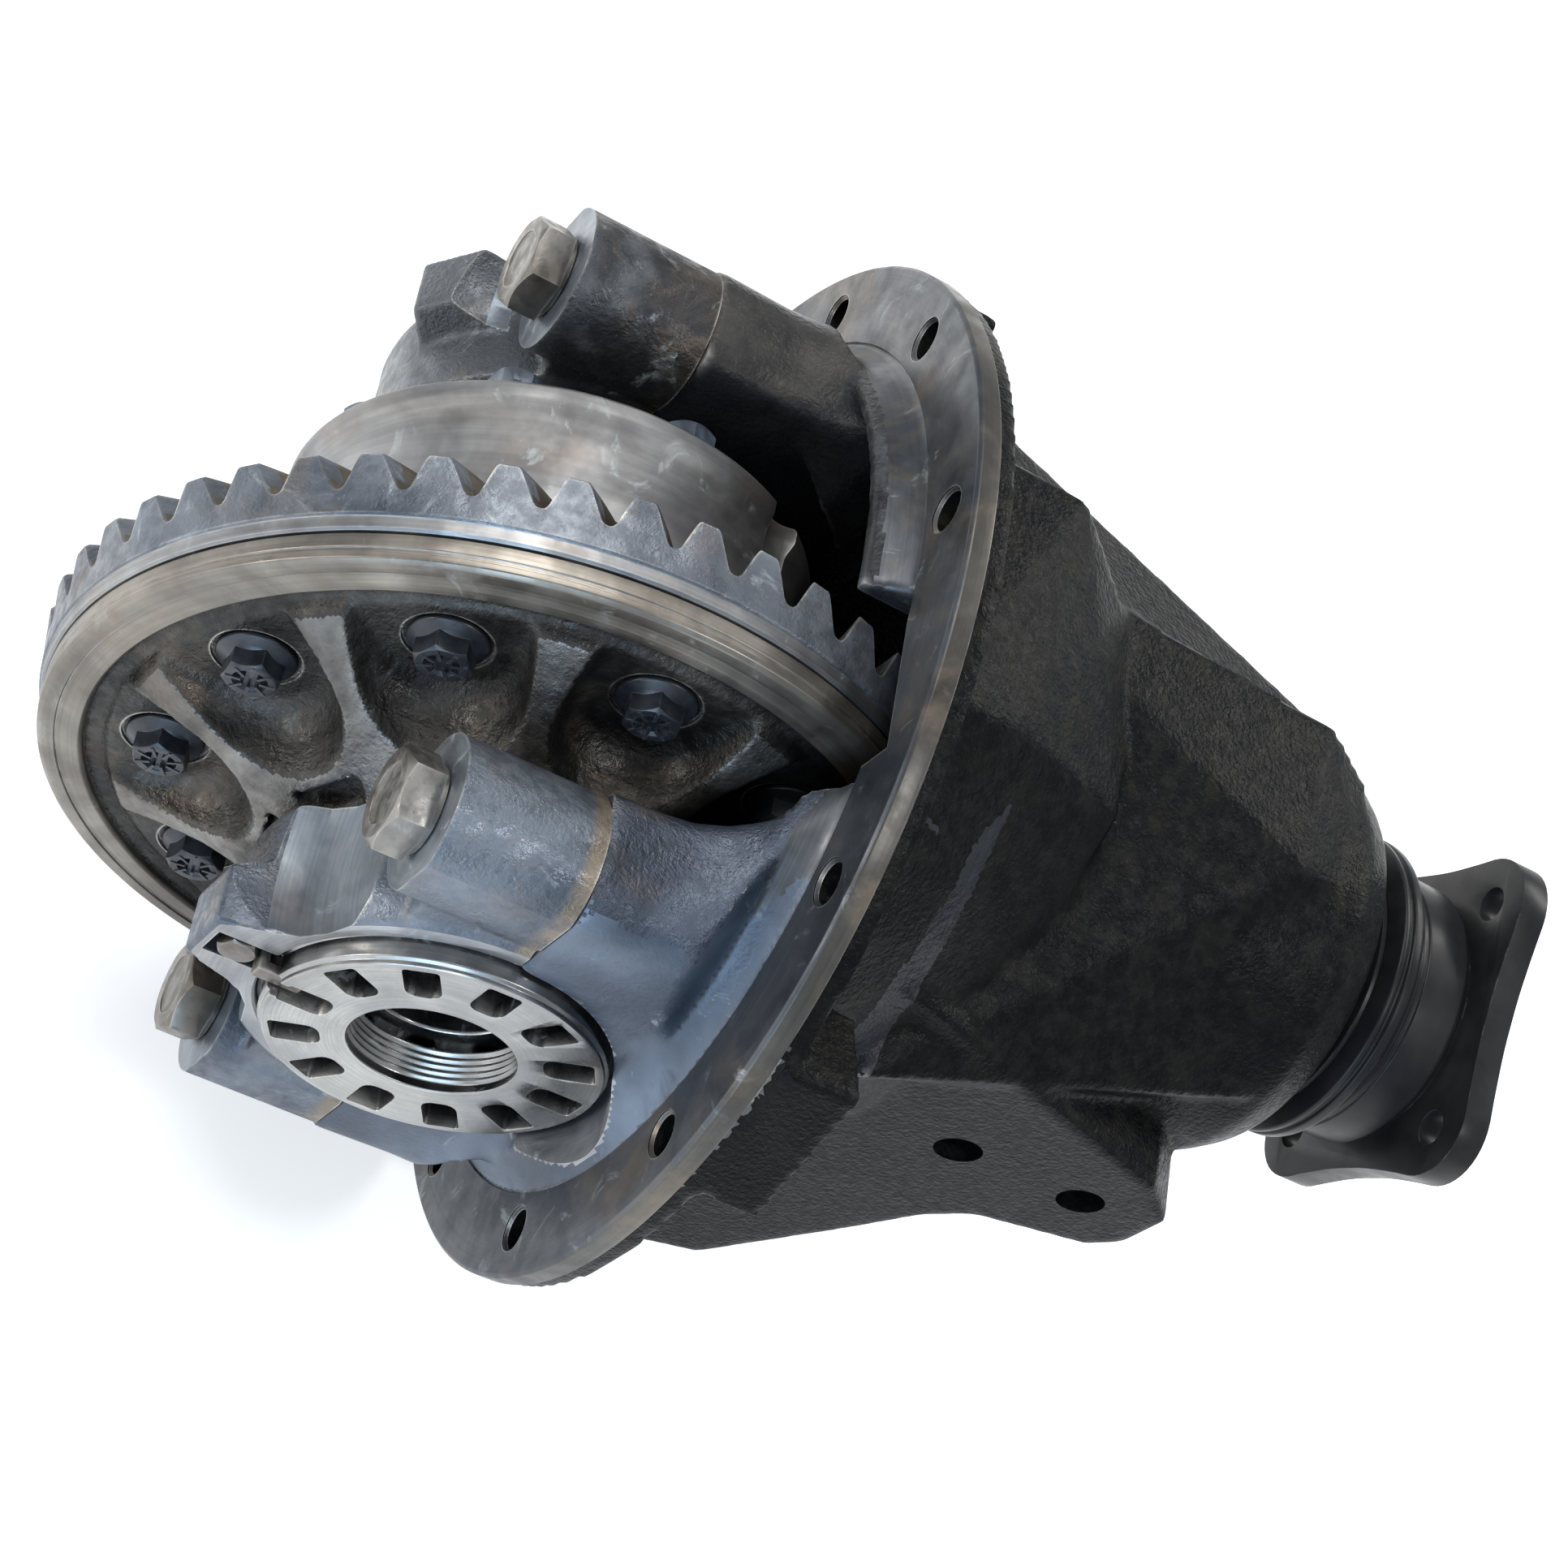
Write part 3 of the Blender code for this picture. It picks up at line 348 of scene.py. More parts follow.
# ---- materials

class Graph:
    """A short way to wire shader nodes: inputs may be numbers, colours or other nodes' sockets."""

    def __init__(self, name):
        self.material = bpy.data.materials.new(name)
        self.material.use_nodes = True
        self.tree = self.material.node_tree
        self.shader = self.tree.nodes["Principled BSDF"]
        self.coords = self.node("TexCoord", "Object")

    def put(self, socket, value):
        if isinstance(value, bpy.types.NodeSocket):
            self.tree.links.new(value, socket)
        elif isinstance(value, tuple) and len(value) == 3 and socket.type == "RGBA":
            socket.default_value = (*value, 1.0)
        else:
            socket.default_value = value

    def node(self, kind, output, *inputs, **settings):
        """Add a node with its settings, feed its inputs, (name or number, value), and return one output."""
        made = self.tree.nodes.new("ShaderNode" + kind)
        for key, value in settings.items():
            setattr(made, key, value)
        for key, value in inputs:
            self.put(made.inputs[key], value)
        return made.outputs[output]

    def noise(self, scale, detail=4.0, roughness=0.55, distortion=0.0, vector=None):
        return self.node("TexNoise", "Fac", ("Vector", vector or self.coords), ("Scale", scale),
                         ("Detail", detail), ("Roughness", roughness), ("Distortion", distortion))

    def ramp(self, value, low, high):
        return self.node("MapRange", "Result", ("Value", value), ("From Min", low), ("From Max", high),
                         interpolation_type="SMOOTHSTEP")

    def math(self, operation, a, b=0.5):
        return self.node("Math", 0, (0, a), (1, b), operation=operation)

    def times(self, a, b):
        return self.math("MULTIPLY", a, b)

    def mix(self, share, a, b):
        return self.node("Mix", 2, (0, share), (6, a), (7, b), data_type="RGBA")

    def over(self, color, tint, mask, strength):
        """A tint laid over a colour where the mask is high."""
        return self.mix(self.times(mask, strength), color, tint)

    def blend(self, share, a, b):
        return self.node("Mix", 0, (0, share), (2, a), (3, b))

    def axis(self, name, vector=None):
        return self.node("SeparateXYZ", name, (0, vector or self.coords))

    def polar(self, axis, centre, stretch):
        """Coordinates (distance from an axis, turn, height) scaled so that noise on them runs in rings."""
        shift = self.node("VectorMath", 0, (0, self.coords), (1, tuple(c * MM for c in centre)),
                          operation="SUBTRACT")
        parts = self.axis("X", shift).node.outputs
        u, v = (parts[n] for n in "XYZ" if n != axis)
        radius = self.math("SQRT", self.math("ADD", self.times(u, u), self.times(v, v)))
        turn = self.math("ARCTAN2", u, v)
        scaled = [self.times(part, by) for part, by in zip((radius, turn, parts[axis]), stretch)]
        return self.node("CombineXYZ", 0, *enumerate(scaled))

    def edges(self, radius, low=0.02, high=0.18):
        """How close the surface is to a sharp edge, from a rounded normal against the true one."""
        soft = self.node("Bevel", 0, ("Radius", radius * MM), samples=4)
        true = self.node("NewGeometry", "Normal")
        same = self.node("VectorMath", "Value", (0, soft), (1, true), operation="DOT_PRODUCT")
        return self.ramp(self.math("SUBTRACT", 1.0, same), low, high)

    def crests(self, low, high):
        """Convex edges of a dense cast mesh."""
        return self.ramp(self.node("NewGeometry", "Pointiness"), low, high)

    def upward(self, low, high):
        return self.ramp(self.axis("Z", self.node("NewGeometry", "Normal")), low, high)

    def bump(self, layers):
        """Stack bump layers of (height, strength, depth in millimetres)."""
        below = []
        for height, strength, depth in layers:
            last = self.node("Bump", 0, ("Strength", strength), ("Distance", depth * MM), ("Height", height),
                             *below)
            below = [("Normal", last)]
        self.put(self.shader.inputs["Normal"], last)

    def finish(self, color, rough, metal, **constants):
        self.put(self.shader.inputs["Base Color"], color)
        self.put(self.shader.inputs["Roughness"], rough)
        self.put(self.shader.inputs["Metallic"], metal)
        for key, value in constants.items():
            self.shader.inputs[key.replace("_", " ")].default_value = value
        return self.material


BLACK = (0.0024, 0.0027, 0.0036)
SOOT = (0.0055, 0.0055, 0.0048)
DUST = (0.026, 0.0255, 0.0215)
BROWN = (0.17, 0.13, 0.095)
GREASE = (0.5, 0.58, 0.6)


def painted_casting():
    """Semi-gloss black paint over cast iron: coarse grain, dusty upper faces, a few chips on the crests."""
    g = Graph("painted_casting")
    patch = g.ramp(g.noise(70, 4), 0.4, 0.7)
    color = g.mix(patch, BLACK, SOOT)
    dust = g.times(g.upward(0.35, 1.0), g.ramp(g.noise(160, 6, 0.65), 0.42, 0.68))
    color = g.over(color, DUST, dust, 0.35)
    chips = g.times(g.crests(0.56, 0.64), g.ramp(g.noise(120, 5, 0.7), 0.56, 0.66))
    color = g.over(color, (0.3, 0.27, 0.21), chips, 0.55)
    rough = g.blend(g.ramp(g.noise(300, 4), 0.35, 0.7), 0.3, 0.44)
    g.bump([(g.noise(26, 3), 0.25, 1.0), (g.noise(560, 2, 0.55), 0.9, 0.6), (g.noise(1300, 2), 0.5, 0.2)])
    return g.finish(color, rough, 0.0, Specular_IOR_Level=0.08)


def inner_casting():
    """Glossy black sealing paint on the inside of the casting, wet with oil."""
    g = Graph("inner_casting")
    oil = g.ramp(g.noise(16, 5, 0.6), 0.35, 0.65)
    color = g.mix(oil, (0.006, 0.007, 0.01), (0.02, 0.022, 0.026))
    dust = g.times(g.upward(0.35, 1.0), g.ramp(g.noise(28, 6, 0.7, 0.8), 0.45, 0.7))
    color = g.over(color, (0.2, 0.22, 0.24), dust, 0.25)
    shoulder = g.times(g.upward(0.55, 0.8), g.ramp(g.axis("Y"), 0.07, 0.076))
    shoulder = g.times(shoulder, g.ramp(g.axis("X"), -0.004, -0.012))
    grey = g.mix(g.ramp(g.noise(40, 5), 0.35, 0.65), (0.017, 0.017, 0.018), (0.045, 0.044, 0.042))
    color = g.mix(shoulder, color, grey)
    worn = g.times(g.crests(0.52, 0.6), g.ramp(g.noise(90, 5), 0.35, 0.6))
    color = g.over(color, (0.42, 0.42, 0.41), worn, 0.7)
    rough = g.blend(oil, 0.24, 0.42)
    g.bump([(g.noise(30, 3), 0.3, 1.2), (g.noise(460, 3, 0.6), 0.9, 0.7)])
    return g.finish(color, rough, 0.0, Specular_IOR_Level=0.2)


def greased_casting_painted_sky():
    """The near pedestal's blue-grey skin: fine cast grain under a film of old grease, its blue partly painted
    shade and sky reflection.
    """
    g = Graph("greased_casting_painted_sky")
    patch = g.ramp(g.noise(11, 4, 0.6, 0.4), 0.36, 0.66)
    # Base blue-grey: partly the casting's own tone, partly painted blue shade and sky reflection
    color = g.mix(patch, (0.034, 0.047, 0.07), (0.125, 0.16, 0.215))
    smear = g.ramp(g.noise(46, 7, 0.7, 1.4), 0.6, 0.74)
    color = g.over(color, GREASE, smear, 0.55)
    dark = g.ramp(g.noise(19, 5, 0.6, 0.6), 0.6, 0.7)
    color = g.over(color, (0.03, 0.04, 0.055), dark, 0.7)
    worn = g.crests(0.54, 0.62)
    color = g.over(color, (0.38, 0.38, 0.36), worn, 0.6)
    rough = g.blend(smear, 0.42, 0.6)
    g.bump([(g.noise(40, 3), 0.25, 0.8), (g.noise(520, 3, 0.6), 0.6, 0.4)])
    return g.finish(color, rough, 0.35, Specular_IOR_Level=0.5)


def machined(name, about, light, dark, brown, grease, metal, lines=900, rough=(0.28, 0.5)):
    """A turned or faced surface: fine tool lines about an axis, brown tarnish, grease and bright edges."""
    g = Graph(name)
    rings = g.noise(1.0, 3, 0.6, 0.0, g.polar(*about, (lines, 1.6, lines)))
    broad = g.ramp(g.noise(14, 5, 0.6, 0.7), 0.34, 0.68)
    color = g.mix(broad, dark, light)
    color = g.mix(g.times(g.ramp(rings, 0.3, 0.7), 0.35), color, tuple(0.6 * c for c in dark))
    tarnish = g.ramp(g.noise(21, 6, 0.65, 0.5), 0.5, 0.7)
    color = g.over(color, BROWN, tarnish, brown)
    smear = g.ramp(g.noise(38, 7, 0.7, 1.8), 0.58, 0.72)
    color = g.over(color, GREASE, smear, grease)
    worn = g.times(g.edges(0.9), g.ramp(g.noise(90, 4), 0.3, 0.6))
    color = g.over(color, (0.62, 0.6, 0.56), worn, 0.7)
    roughness = g.blend(g.ramp(g.noise(70, 5), 0.3, 0.7), rough[0], rough[1])
    roughness = g.blend(g.times(smear, 0.6), roughness, 0.62)
    g.bump([(rings, 0.22, 0.12), (g.noise(700, 3, 0.7), 0.12, 0.1), (g.noise(45, 4), 0.12, 0.5)])
    return g.finish(color, roughness, g.blend(g.times(smear, 0.7), metal, 0.2))


def cast_steel(name, dark, light, grain, glint, grease, metal, scale=520, band=0, soot=0, depth=0.35):
    """Bare cast or forged skin: grain, dark pits, worn crests and grease; the light crests, scaled by glint,
    are partly wear and partly painted highlight.
    """
    g = Graph(name)
    broad = g.ramp(g.noise(15, 5, 0.6, 0.5), 0.34, 0.68)
    color = g.mix(broad, dark, light)
    pits = g.ramp(g.noise(330, 4, 0.7), 0.6, 0.7)
    color = g.over(color, tuple(0.3 * c for c in dark), pits, 0.35)
    if band:
        near_split = g.times(g.ramp(g.axis("X"), -0.069, -0.064), g.ramp(g.noise(60, 5), 0.3, 0.55))
        color = g.over(color, (0.23, 0.185, 0.135), near_split, 0.8)
    if soot:
        shade = g.times(g.ramp(g.axis("Z"), 0.05, 0.066), g.ramp(g.noise(30, 5), 0.3, 0.5))
        shade = g.times(shade, g.ramp(g.axis("X"), -0.118, -0.1))
        color = g.over(color, (0.012, 0.013, 0.016), shade, 0.9)
    tarnish = g.ramp(g.noise(24, 6, 0.65, 0.8), 0.5, 0.7)
    color = g.over(color, BROWN, tarnish, 0.35)
    smear = g.ramp(g.noise(34, 7, 0.7, 1.6), 0.58, 0.74)
    color = g.over(color, GREASE, smear, grease)
    # Light colour on sharp edges: partly wear, partly painted glint highlights, its strength set by glint
    worn = g.times(g.edges(1.6, 0.03, 0.25), g.ramp(g.noise(80, 5, 0.6), 0.32, 0.6))
    color = g.over(color, (0.6, 0.57, 0.52), worn, glint * 1.6)
    rough = g.blend(g.ramp(g.noise(180, 4), 0.35, 0.65), 0.3, 0.55)
    g.bump([(g.noise(60, 3), 0.2, 0.7), (g.noise(scale, 3, 0.65), grain, depth)])
    return g.finish(color, rough, metal)


def black_oxide(name, tint=(0.012, 0.014, 0.018), wear=0.4):
    g = Graph(name)
    color = g.mix(g.ramp(g.noise(120, 4, 0.6), 0.35, 0.68), tint, tuple(2.4 * c for c in tint))
    worn = g.times(g.edges(0.6, 0.02, 0.2), g.ramp(g.noise(200, 4), 0.35, 0.6))
    color = g.over(color, (0.26, 0.27, 0.3), worn, wear)
    rough = g.blend(g.ramp(g.noise(150, 5), 0.3, 0.7), 0.26, 0.46)
    g.bump([(g.noise(500, 3, 0.6), 0.2, 0.15), (g.noise(90, 3), 0.15, 0.3)])
    return g.finish(color, rough, 0.35, Specular_IOR_Level=0.6)


def satin_black():
    """The companion flange's paint: smooth satin black with turning marks and rubbed edges."""
    g = Graph("satin_black")
    rings = g.noise(1.0, 2, 0.5, 0.0, g.polar("X", (0, 0, PINION_Z), (500, 0.8, 500)))
    color = g.mix(g.ramp(g.noise(30, 5), 0.35, 0.7), (0.008, 0.0085, 0.01), (0.02, 0.02, 0.02))
    worn = g.times(g.edges(0.9, 0.02, 0.2), g.ramp(g.noise(110, 5, 0.7), 0.5, 0.66))
    color = g.over(color, (0.2, 0.17, 0.13), worn, 0.6)
    rough = g.blend(g.ramp(g.noise(80, 4), 0.3, 0.7), 0.3, 0.42)
    g.bump([(rings, 0.18, 0.1), (g.noise(300, 3), 0.18, 0.15), (g.noise(30, 3), 0.12, 0.6)])
    return g.finish(color, rough, 0.0, Specular_IOR_Level=0.22)


def rubber():
    g = Graph("seal_rubber")
    color = g.mix(g.ramp(g.noise(80, 4), 0.3, 0.7), (0.008, 0.008, 0.009), (0.025, 0.025, 0.026))
    g.bump([(g.noise(600, 3), 0.3, 0.12)])
    return g.finish(color, g.blend(g.noise(50), 0.55, 0.75), 0.0)


# What the tool marks of a turned or faced surface run around: an axis and a point on it
RING = ("Y", (RING_X, 0, 0))
FLANGE = ("X", (0, 0, 0))
PINION = ("X", (0, 0, PINION_Z))
NEAR_BOLT = ("X", (0, NEAR_Y, CAP_BOLT_Z))
PAINT = painted_casting()
INSIDE = inner_casting()
PEDESTAL = greased_casting_painted_sky()
FLANGE_FACE = machined("flange_face", FLANGE, (0.1, 0.107, 0.118), (0.04, 0.046, 0.055), 0.5, 0.3, 0.75)
FLANGE_RIM = machined("flange_rim", FLANGE, (0.1, 0.095, 0.085), (0.045, 0.042, 0.038), 0.6, 0.05, 0.5)
CAP_SKIN = cast_steel("cap_skin", (0.06, 0.072, 0.095), (0.15, 0.175, 0.21), 0.8, 0.4, 0.4, 0.65,
                      band=1, depth=0.5)
PEDESTAL_TOP = cast_steel("pedestal_top", (0.022, 0.028, 0.04), (0.075, 0.092, 0.125), 0.9, 0.9, 0.2, 0.6,
                          depth=0.7)
FAR_CAP_SKIN = cast_steel("far_cap_skin", (0.075, 0.083, 0.095), (0.18, 0.195, 0.21), 0.9, 0.4, 0.55, 0.6,
                          band=1, soot=1, depth=0.6)
CAP_CUT = machined("cap_cut", NEAR_BOLT, (0.27, 0.3, 0.33), (0.13, 0.155, 0.19), 0.35, 0.45, 0.7)
CAP_BORE = machined("cap_bore", RING, (0.42, 0.43, 0.44), (0.22, 0.23, 0.25), 0.25, 0.2, 0.9)
BOLT_STEEL = cast_steel("bolt_steel", (0.085, 0.075, 0.062), (0.25, 0.24, 0.23), 0.2, 0.55, 0.25, 0.85, 400)
BOLT_BLACK = black_oxide("bolt_black")
CASE_BOLT = black_oxide("case_bolt_blue", (0.05, 0.065, 0.09), 0.6)
RIB_TOP = cast_steel("rib_top", (0.06, 0.057, 0.054), (0.26, 0.25, 0.24), 0.9, 0.6, 0.05, 0.85, 380,
                     depth=0.6)
NUT_BRIGHT = machined("nut_bright", RING, (0.48, 0.48, 0.47), (0.24, 0.245, 0.25), 0.15, 0.12, 1.0,
                      1400, (0.2, 0.36))
GEAR_SIDE = cast_steel("gear_side", (0.06, 0.07, 0.088), (0.165, 0.185, 0.215), 0.8, 0.5, 0.5, 0.7, 700)
GEAR_TURNED = machined("gear_turned", RING, (0.32, 0.32, 0.32), (0.15, 0.155, 0.17), 0.4, 0.3, 0.9)
GEAR_FLANK = machined("gear_flank", RING, (0.2, 0.17, 0.13), (0.1, 0.085, 0.065), 0.5, 0.1, 0.9, 500)
CASE_TURNED = machined("case_turned", RING, (0.32, 0.3, 0.265), (0.15, 0.135, 0.12), 0.5, 0.14, 0.9)
CASE_SKIN = cast_steel("case_skin", (0.022, 0.021, 0.021), (0.07, 0.067, 0.063), 0.9, 0.75, 0.1, 0.8, 420,
                       depth=0.7)
BELL = machined("case_bell", RING, (0.3, 0.305, 0.31), (0.14, 0.14, 0.147), 0.35, 0.4, 0.8, 300, (0.38, 0.6))
BEARING = machined("bearing_steel", RING, (0.6, 0.6, 0.6), (0.4, 0.4, 0.4), 0.1, 0.05, 1.0, 1200,
                   (0.15, 0.28))
SHAFT_STEEL = machined("shaft_steel", PINION, (0.4, 0.39, 0.37), (0.22, 0.21, 0.2), 0.4, 0.05, 0.95)
GEAR_STEEL = machined("gear_steel", RING, (0.3, 0.31, 0.33), (0.15, 0.16, 0.18), 0.3, 0.1, 0.95, 500)
SATIN = satin_black()
RUBBER = rubber()


# ---- housing

def pedestal(centre, outward):
    """The wall that carries one cap: square shoulders that sweep up into the mouth of the housing."""
    def section(x, out, inside, rise, corner, steps=7):
        points = []
        for sz in (1, -1):
            for k in range(steps):
                for reach, radius, side in ((out, corner, outward), (inside, 7, -outward)):
                    dy, dz = around(90 * k / (steps - 1), radius)
                    points.append((x, centre + side * (reach - radius + dy), sz * (rise - radius + dz)))
        return points
    # (x, reach outwards, reach inwards, half height, corner radius)
    stations = ((RING_X, 24.5, 22, 104, 15), (-44, 24.5, 22.2, 104, 16), (-32, 25, 23, 105.5, 20),
                (-22, 26, 25, 109, 26), (-13, 28, 28, 115, 34), (-6, 30, 32, 125, 40), (2, 34, 36, 138, 44),
                (20, 34, 36, 138, 44))
    wall = join(*[hull("wall", section(*low) + section(*high)) for low, high in zip(stations, stations[1:])])
    limit = [(174, -90), (174, -30), (152, -13), (150, -8), (158, 3), (158, 60)]
    return clip(wall, solid_lathe("limit", limit, X_AXIS, 128, 0))


def housing():
    shell = rod("shell", FLANGE_R - 1.2, 1.5, 15, X_AXIS, 128)
    body = cone("body", (8, 0, 0, 165), (120, 0, 30, 82))
    nose = solid_lathe("nose", [(54, 236), (70, 226), (78, 212), (78, 60), (40, 60)], PINION_AXIS, 96, 3)
    chamber = rod("chamber", 182, -84, 60, RING_AXIS, 96)
    clip(chamber, block("limits", (8, -100, -150), (140, 100, 20)))
    bulge = hull("bulge", [(9, 60, 152), (63, 60, 149), (9, -45, 160), (49, -37, 149), (106, 36, 122),
                           (106, -31, 122), (9, -114, 114), (60, -102, 86), (98, -86, 79), (9, -142, 0),
                           (60, -127, 5), (102, -94, 20), (9, 60, 0), (104, 36, 0)])
    pinion_block = hull("pinion_block", [
        (86, 46, 127), (188, 43, 123), (211, 34, 113), (108, 8, 126), (181, -17, 122), (211, -13, 113),
        (55, -127, 67), (206, -75, 67), (60, -108, 30), (205, -62, 30), (60, 44, 30), (206, 34, 30)])
    gusset = hull("gusset", [(9, 110, 120), (9, 148, 30), (9, 122, -90), (9, 20, 152), (198, 60, 99),
                             (198, 86, 39), (198, 63, -10), (190, 20, 60), (9, 0, 0)])
    outline = [(5, -140), (60, -150), (108, -132), (135, -72), (148, -40), (160, -26), (200, -15), (208, -4),
               (208, 22), (190, 40), (60, 90), (5, 90)]
    web = prism("web", outline, 78, 106, rot("X", 90))
    pad = block("pad", (10, -12, 150), (36, 48, 186), rot("X", 70))
    lug = block("lug", (10, -8, 150), (34, 8, 184), rot("X", -50))
    join(shell, body, nose, chamber, bulge, pinion_block, gusset, web, pad, lug)
    mouth = rod("mouth", 142, -5, 24, X_AXIS, 96)
    throat = cone("throat", (20, 0, 0, 143), (98, 0, 24, 84))
    cut(shell, mouth, throat)
    lip = lathe("lip", [(158, 3), (149.5, -9), (148, -13), (142.5, -13), (142.5, 14), (158, 14)],
                X_AXIS, 128, 1.5)
    join(shell, lip)
    sweep = [(-40, 112), (-22, 112), (-13, 116), (-6, 125.5), (0, 135), (0, 165), (-40, 165)]
    for sign in (1, -1):
        cut(shell, prism("sweep", [(x, sign * z) for x, z in sweep], 66, 108, rot("X", 90)))
    join(shell, pedestal(NEAR_Y, -1), pedestal(FAR_Y, 1))
    room = block("room", (-30, -72, -158), (12, -12, 158))
    gear_room = rod("gear_room", 162, -73, -11, RING_AXIS, 96)
    case_room = rod("case_room", 100, -88, 76, RING_AXIS, 96)
    cut(shell, room, gear_room, case_room)
    cast(shell, 2.1, 5)
    rim = lathe("rim", [(FLANGE_R, 1.2), (FLANGE_R - 1.2, 0), (157.5, 0), (157.5, 8), (FLANGE_R, 8)],
                X_AXIS, 192, 0.4)
    cut(rim, block("notch", (-30, -70, -156), (40, -14, 156)))
    join(shell, rim)
    cutters = [rod("near_bore", SIDE_BORE_R, -200, -82, RING_AXIS, 96),
               rod("far_bore", SIDE_BORE_R, 72, 200, RING_AXIS, 96),
               rod("head_room", 44, 20, 102, PINION_AXIS, 64),
               block("split", (-300, -300, -300), (RING_X, 300, 300)),
               solid_lathe("bores", [(47.3, 260), (47.3, 226), (40, 226), (40, 208), (45.3, 208), (45.3, 182),
                                     (38, 182), (38, 126), (52.3, 126), (52.3, 70)], PINION_AXIS, 96, 0)]
    for y in (NEAR_Y, FAR_Y):
        cutters += [rod("bolt_hole", CAP_HOLE_R, -120, 5, place(0, y, z, X_AXIS), 32)
                    for z in (CAP_BOLT_Z, -CAP_BOLT_Z)]
    for angle in FLANGE_HOLE_ANGLES:
        for sign in (1, -1):
            y, z = around(sign * angle, FLANGE_BOLT_R)
            cutters.append(rod("hole", 7, -5, 34, place(0, y, z, X_AXIS), 32))
            cutters.append(lathe("sink", [(8.1, -5), (8.1, 0.4), (7.0, 1.4), (1, 1.4), (1, -5)],
                                 place(0, y, z, X_AXIS), 32, 0))
    for x in (127, 178):
        cutters.append(rod("tapped", 8.6, 96, 125, place(x, 0, 13, rot("X", 90)), 32))
    cut(shell, *cutters)

    (x, y, z), (nx, ny, nz) = face_data(shell)
    from_axis = np.hypot(y, z)
    from_ring = np.hypot(x - RING_X, z)
    flange_face = (x < 1.6) & (nx < -0.5) & (from_axis > 157) & (x > -1)
    flange_rim = (from_axis > 184) & (x < 8.5)
    bore = (np.abs(from_ring - SIDE_BORE_R) < 0.5) & (x < 0) & (np.abs(y) > 72)
    split = (x < RING_X + 0.2) & (nx < -0.9)
    near_wall = (y < -100) & (x < 3) & ((from_axis < 158) | (x < 0)) & (ny < 0.25)
    below_top = nz < 0.66 + 0.06 * np.sin(x / 3.1)
    lip_face = (x < 3) & (x > -9.5) & (from_axis > 149) & (from_axis < 158.5)
    near_top = (y < -74) & (x < -3) & (nz > 0.3)
    mouth = (from_axis < 158) & (x < 60) & ((x < 8) | (from_axis < 142))
    gear_well = (x < 100) & (from_ring < 163) & (y > -74) & (y < -10)
    # Index 2 gives the near wall's side faces the blue-grey pedestal skin, whose blue is partly painted shade
    # and sky reflection
    paint_faces(shell, [(3, flange_face), (4, flange_rim), (5, bore | split), (2, near_wall & below_top),
                        (3, lip_face), (6, near_top), (1, mouth | gear_well)])
    settle(shell, "carrier_casting", "carrier", "housing_black",
           [PAINT, INSIDE, PEDESTAL, FLANGE_FACE, FLANGE_RIM, CAP_BORE, PEDESTAL_TOP],
           "carrier_housing", smooth=38)


def lock_frame(outward):
    """Turns a shape made at the -X side of the ring axis to where that side's adjuster lock sits."""
    return place(RING_X, turn=rot("Y", LOCK_TURN[outward])) @ place(-RING_X)


